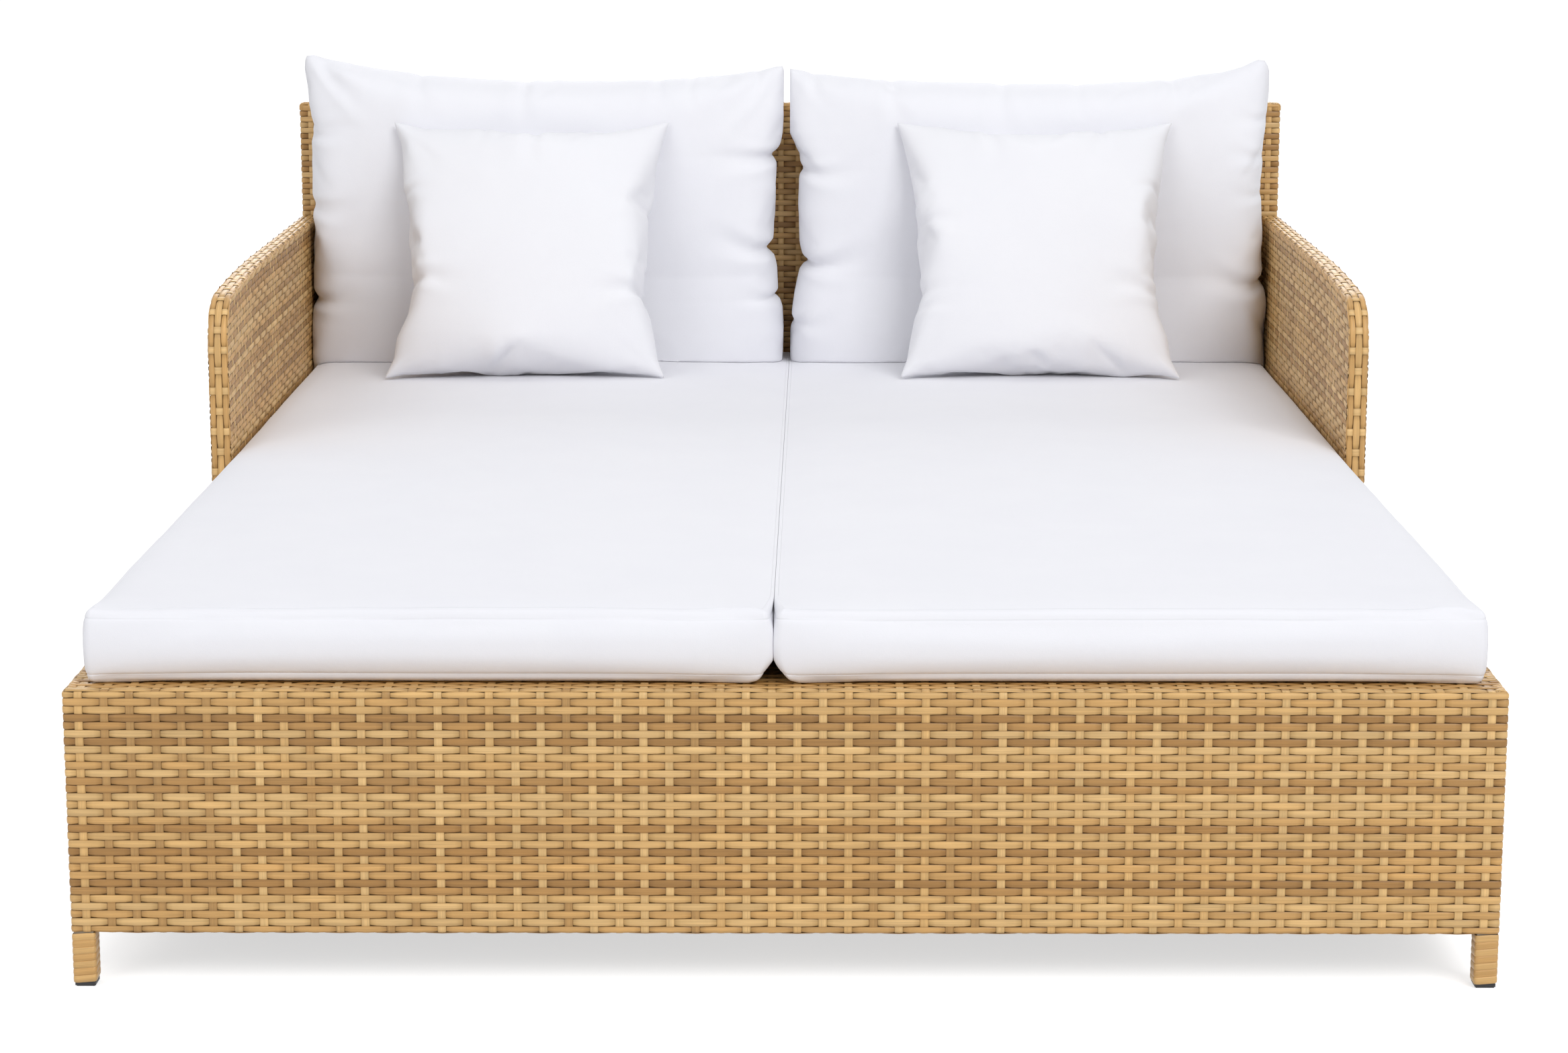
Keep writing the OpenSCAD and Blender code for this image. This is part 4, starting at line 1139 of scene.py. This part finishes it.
# Folds: start x and z, direction in degrees, length, width and depth.
FOLD = ("e-3", "e-3", "e0", "e-3", "e-3", "e-3")
BACK_FOLDS = {
    -1: in_mm("""
        -585 888 -88 75 14 4.5, -415 878 -101 70 13 6.5, -204 880 -84 65 13 4.5,
        -150 883 -95 50 10 3.5, -42 895 -112 60 10 4, -20.5 759 187 110 13 6.5,
        -28 612 171 120 15 7.5, -16.5 534 178 70 10 4.5, -759 794 6 70 11 4.5,
        -759 678 -4 80 12 4.5, -759 530 9 90 13 5, -740 905 -48 90 12 4""", FOLD),
    1: in_mm("""
        44.3 889 -80 60 11 4.5, 168.6 878 -78 75 13 6.5, 347 874 -99 80 14 6,
        466 873 -90 55 12 4, 617 880 -86 70 13 5, 26.7 739 -6 100 12 6, 34.6 589 5 120 15 7.5,
        11 495 3 80 12 4.5, 757 553 172 110 15 6.5, 761 700 184 60 10 3.5, 762 760 176 70 10 4,
        763 820 183 60 10 3.5""", FOLD),
}
PILLOW_FOLDS = {
    -1: in_mm("""
        15 187 -104 80 12 6.5, -70 190 -92 45 10 3, 90 192 -86 50 10 3.2, 186 59 176 70 11 4.5,
        178 -85 187 90 12 6, -176.5 -63 -4 90 12 6, -192 85 8 50 10 3""", FOLD),
    1: in_mm("""
        -76 191 -82 75 12 5.5, 101 195 -97 75 12 5.5, -182 28 3 80 12 5.5,
        178 -85 174 100 13 6.5, -180 -110 12 60 10 3.5, 190 90 183 55 10 3.5""", FOLD),
}
BACK_FOOT, BACK_MID_Y, BACK_LEAN = 0.362, 0.8828, 0.018
BACK_SHIFT = -0.0065
BACK_X, BACK_FRONT = 0.3867, 0.7900
# A back cushion's furthest point sideways between the arms and above them.
BACK_LOW_X, BACK_HIGH_X, ARM_TOP = 0.7707, 0.779, 0.672
PILLOW, PILLOW_LEAN = 0.432, math.radians(28.5)
PILLOW_X = {-1: -0.409, 1: 0.388}


def filled(name, width, height, cells, thick, target, material, seed, pressure):
    """A bag filled by the simulation, made smooth and brought to a size and a thickness."""
    piece = bag(name, width * 1.06, height * 1.05, *cells, material, seed)
    blown(piece, pressure, frames=45, bending=0.15, stiffness=18.0, thick=target)
    refined(piece)
    co = points_of(piece.data)
    co[:, 0] *= width / np.ptp(co[:, 0])
    co[:, 2] *= height / np.ptp(co[:, 2])
    co[:, 1] *= thick / 2 / np.abs(co[:, 1]).max()
    return piece, co, place_in_bag(piece, "across"), place_in_bag(piece, "upwards")


def back_cushion(side, word):
    width, height = 0.766, 0.535
    piece, co, a, b = filled("back_pad_" + word, width, height, cells=(96, 66), thick=0.176,
                             target=0.118, material=cushion_cloth, seed=11 + side, pressure=4.0)
    co[:, 0] += side * BACK_X
    co[:, 2] += BACK_FOOT + height / 2
    co[:, 1] *= 1 + 0.45 * unit(1 - (co[:, 2] - BACK_FOOT) / 0.21)
    co = round_corners(fitted(co, a, b, BACK_SIDES[side], 0.4), a, b, 0.95, (width, height))
    co = tucked(co, BACK_FOLDS[side])
    co[:, 0] += BACK_SHIFT
    co[:, 1] += BACK_MID_Y + BACK_LEAN * unit((co[:, 2] - BACK_FOOT) / height)
    wide = np.where(co[:, 2] < ARM_TOP, BACK_LOW_X, BACK_HIGH_X)
    # Neither back cushion reaches over the other's seat, so that each set lifts on its own.
    low, high = (-wide, BACK_SHIFT + 0.0004) if side < 0 else (CUSHION_GAP, wide)
    co[:, 0] = np.clip(co[:, 0], low, high)
    co[:, 1] = np.clip(co[:, 1], BACK_FRONT, SEAT_BACK)
    set_coordinates(piece, keep_clear(co, seats[side], 2, 1))
    return piece


def throw_pillow(side, word):
    piece, co, a, b = filled("pillow_" + word, PILLOW, PILLOW, cells=(60, 60), thick=0.150,
                             target=0.116, material=pillow_cloth, seed=31 + side, pressure=3.0)
    co = round_corners(fitted(co, a, b, PILLOW_SIDES, 0.2), a, b, 0.975, (PILLOW, PILLOW))
    if side > 0:
        co[:, 0] *= -1
        piece.data.flip_normals()
    u, n, v = tucked(co, PILLOW_FOLDS[side]).T
    low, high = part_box("throw_pillow_" + word)
    co = np.column_stack([
        u + PILLOW_X[side],
        v * math.sin(PILLOW_LEAN) + n * math.cos(PILLOW_LEAN) + (low[1] + high[1]) / 2 - 0.005,
        v * math.cos(PILLOW_LEAN) - n * math.sin(PILLOW_LEAN) + (low[2] + high[2]) / 2 - 0.007])
    co = keep_clear(co, seats[side], 2, 1)
    set_coordinates(piece, keep_clear(co, backs[side], 1, -1))
    return piece


seats = {side: seat_cushion(side, word) for side, word in SIDES}
backs = {side: back_cushion(side, word) for side, word in SIDES}
pillows = {side: throw_pillow(side, word) for side, word in SIDES}
for side, word in SIDES:
    for piece, kind, fill, slot in ((seats[side], "seat_cushion_", 0.9, "cushion_fabric"),
                                    (backs[side], "back_cushion_", 0.7, "cushion_fabric"),
                                    (pillows[side], "throw_pillow_", 0.75, "pillow_fabric")):
        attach(piece, kind + word)
        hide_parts(kind + word)

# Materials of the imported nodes.
for name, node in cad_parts.items():
    bolted = name in ("arm_bolts", "back_bolts", "threaded_inserts")
    node.data.materials.clear()
    node.data.materials.append(plastic if name.startswith("foot_") else steel if bolted else paint)

# Floor, light and camera.
scene = bpy.context.scene
scene.view_settings.view_transform = "Standard"
FLOOR_GLOW, SKY = 0.62, 0.55


def stage_material():
    """Pale floor: almost white where it is seen in the light, darker in the object's shadow."""
    material, tree, shader = node_material("floor")
    settle(shader, {"Base Color": (0.80, 0.80, 0.80, 1), "Roughness": 0.9,
                    "Specular IOR Level": 0.0, "Emission Color": (1, 1, 1, 1)})
    tree.link(tree.math("MULTIPLY", tree.seen(), FLOOR_GLOW), shader.inputs["Emission Strength"])
    return material


floor_mesh = bpy.data.meshes.new("floor")
floor_mesh.from_pydata([(-40, -40, 0), (40, -40, 0), (40, 40, 0), (-40, 40, 0)], [], [(0, 1, 2, 3)])
floor = add_object("floor", floor_mesh, stage_material())
floor.location.z = -0.0005

scene.world = bpy.data.worlds.new("studio")
tree = Tree(scene.world)
sky, white = tree.nodes["Background"], tree.nodes.new("ShaderNodeBackground")
settle(sky, {"Color": (0.97, 0.98, 1.0, 1), "Strength": SKY})
settle(white, {"Color": (1, 1, 1, 1), "Strength": 1.0})
blend = tree.nodes.new("ShaderNodeMixShader")
tree.link(tree.seen(), blend.inputs["Fac"])
tree.link(sky.outputs[0], blend.inputs[1])
tree.link(white.outputs[0], blend.inputs[2])
tree.link(blend.outputs[0], tree.nodes["World Output"].inputs["Surface"])

for name, place, aim, size, watts in (
    ("key", (5.0, -8.8, 8.5), (0, 0, 0.4), (6.0, 6.0), 680),
    ("fill", (-7.0, -9.0, 5.5), (0, 0, 0.4), (6.0, 5.0), 240),
    ("top", (0, 0.3, 4.6), (0, 0.2, 0.5), (4.0, 3.0), 28),
    ("behind", (0, 4.0, 2.0), (0, 0.4, 0.6), (3.4, 2.0), 60),
):
    data = bpy.data.lights.new(name, "AREA")
    data.shape = "RECTANGLE"
    data.size, data.size_y = size
    data.energy = watts
    lamp = bpy.data.objects.new(name, data)
    scene.collection.objects.link(lamp)
    lamp.location = place
    lamp.rotation_euler = (Vector(aim) - Vector(place)).to_track_quat("-Z", "Y").to_euler()

# The camera's place and its angles in degrees come from fitting the frame's corners; F_PX is its
# focal length in pixels of a picture that is WIDE_PX wide.
F_PX, WIDE_PX = 5200, 2334
DOWN, ASIDE = 11.325, 0.249
camera_data = bpy.data.cameras.new("camera")
camera_data.sensor_fit = "HORIZONTAL"
camera_data.sensor_width = 36
camera_data.lens = 36 * F_PX / WIDE_PX
camera_data.clip_end = 100
camera = bpy.data.objects.new("camera", camera_data)
scene.collection.objects.link(camera)
camera.location = (0.0154, -4.7412, 1.2775)
camera.rotation_euler = (math.radians(90 - DOWN), 0, math.radians(ASIDE))
scene.camera = camera
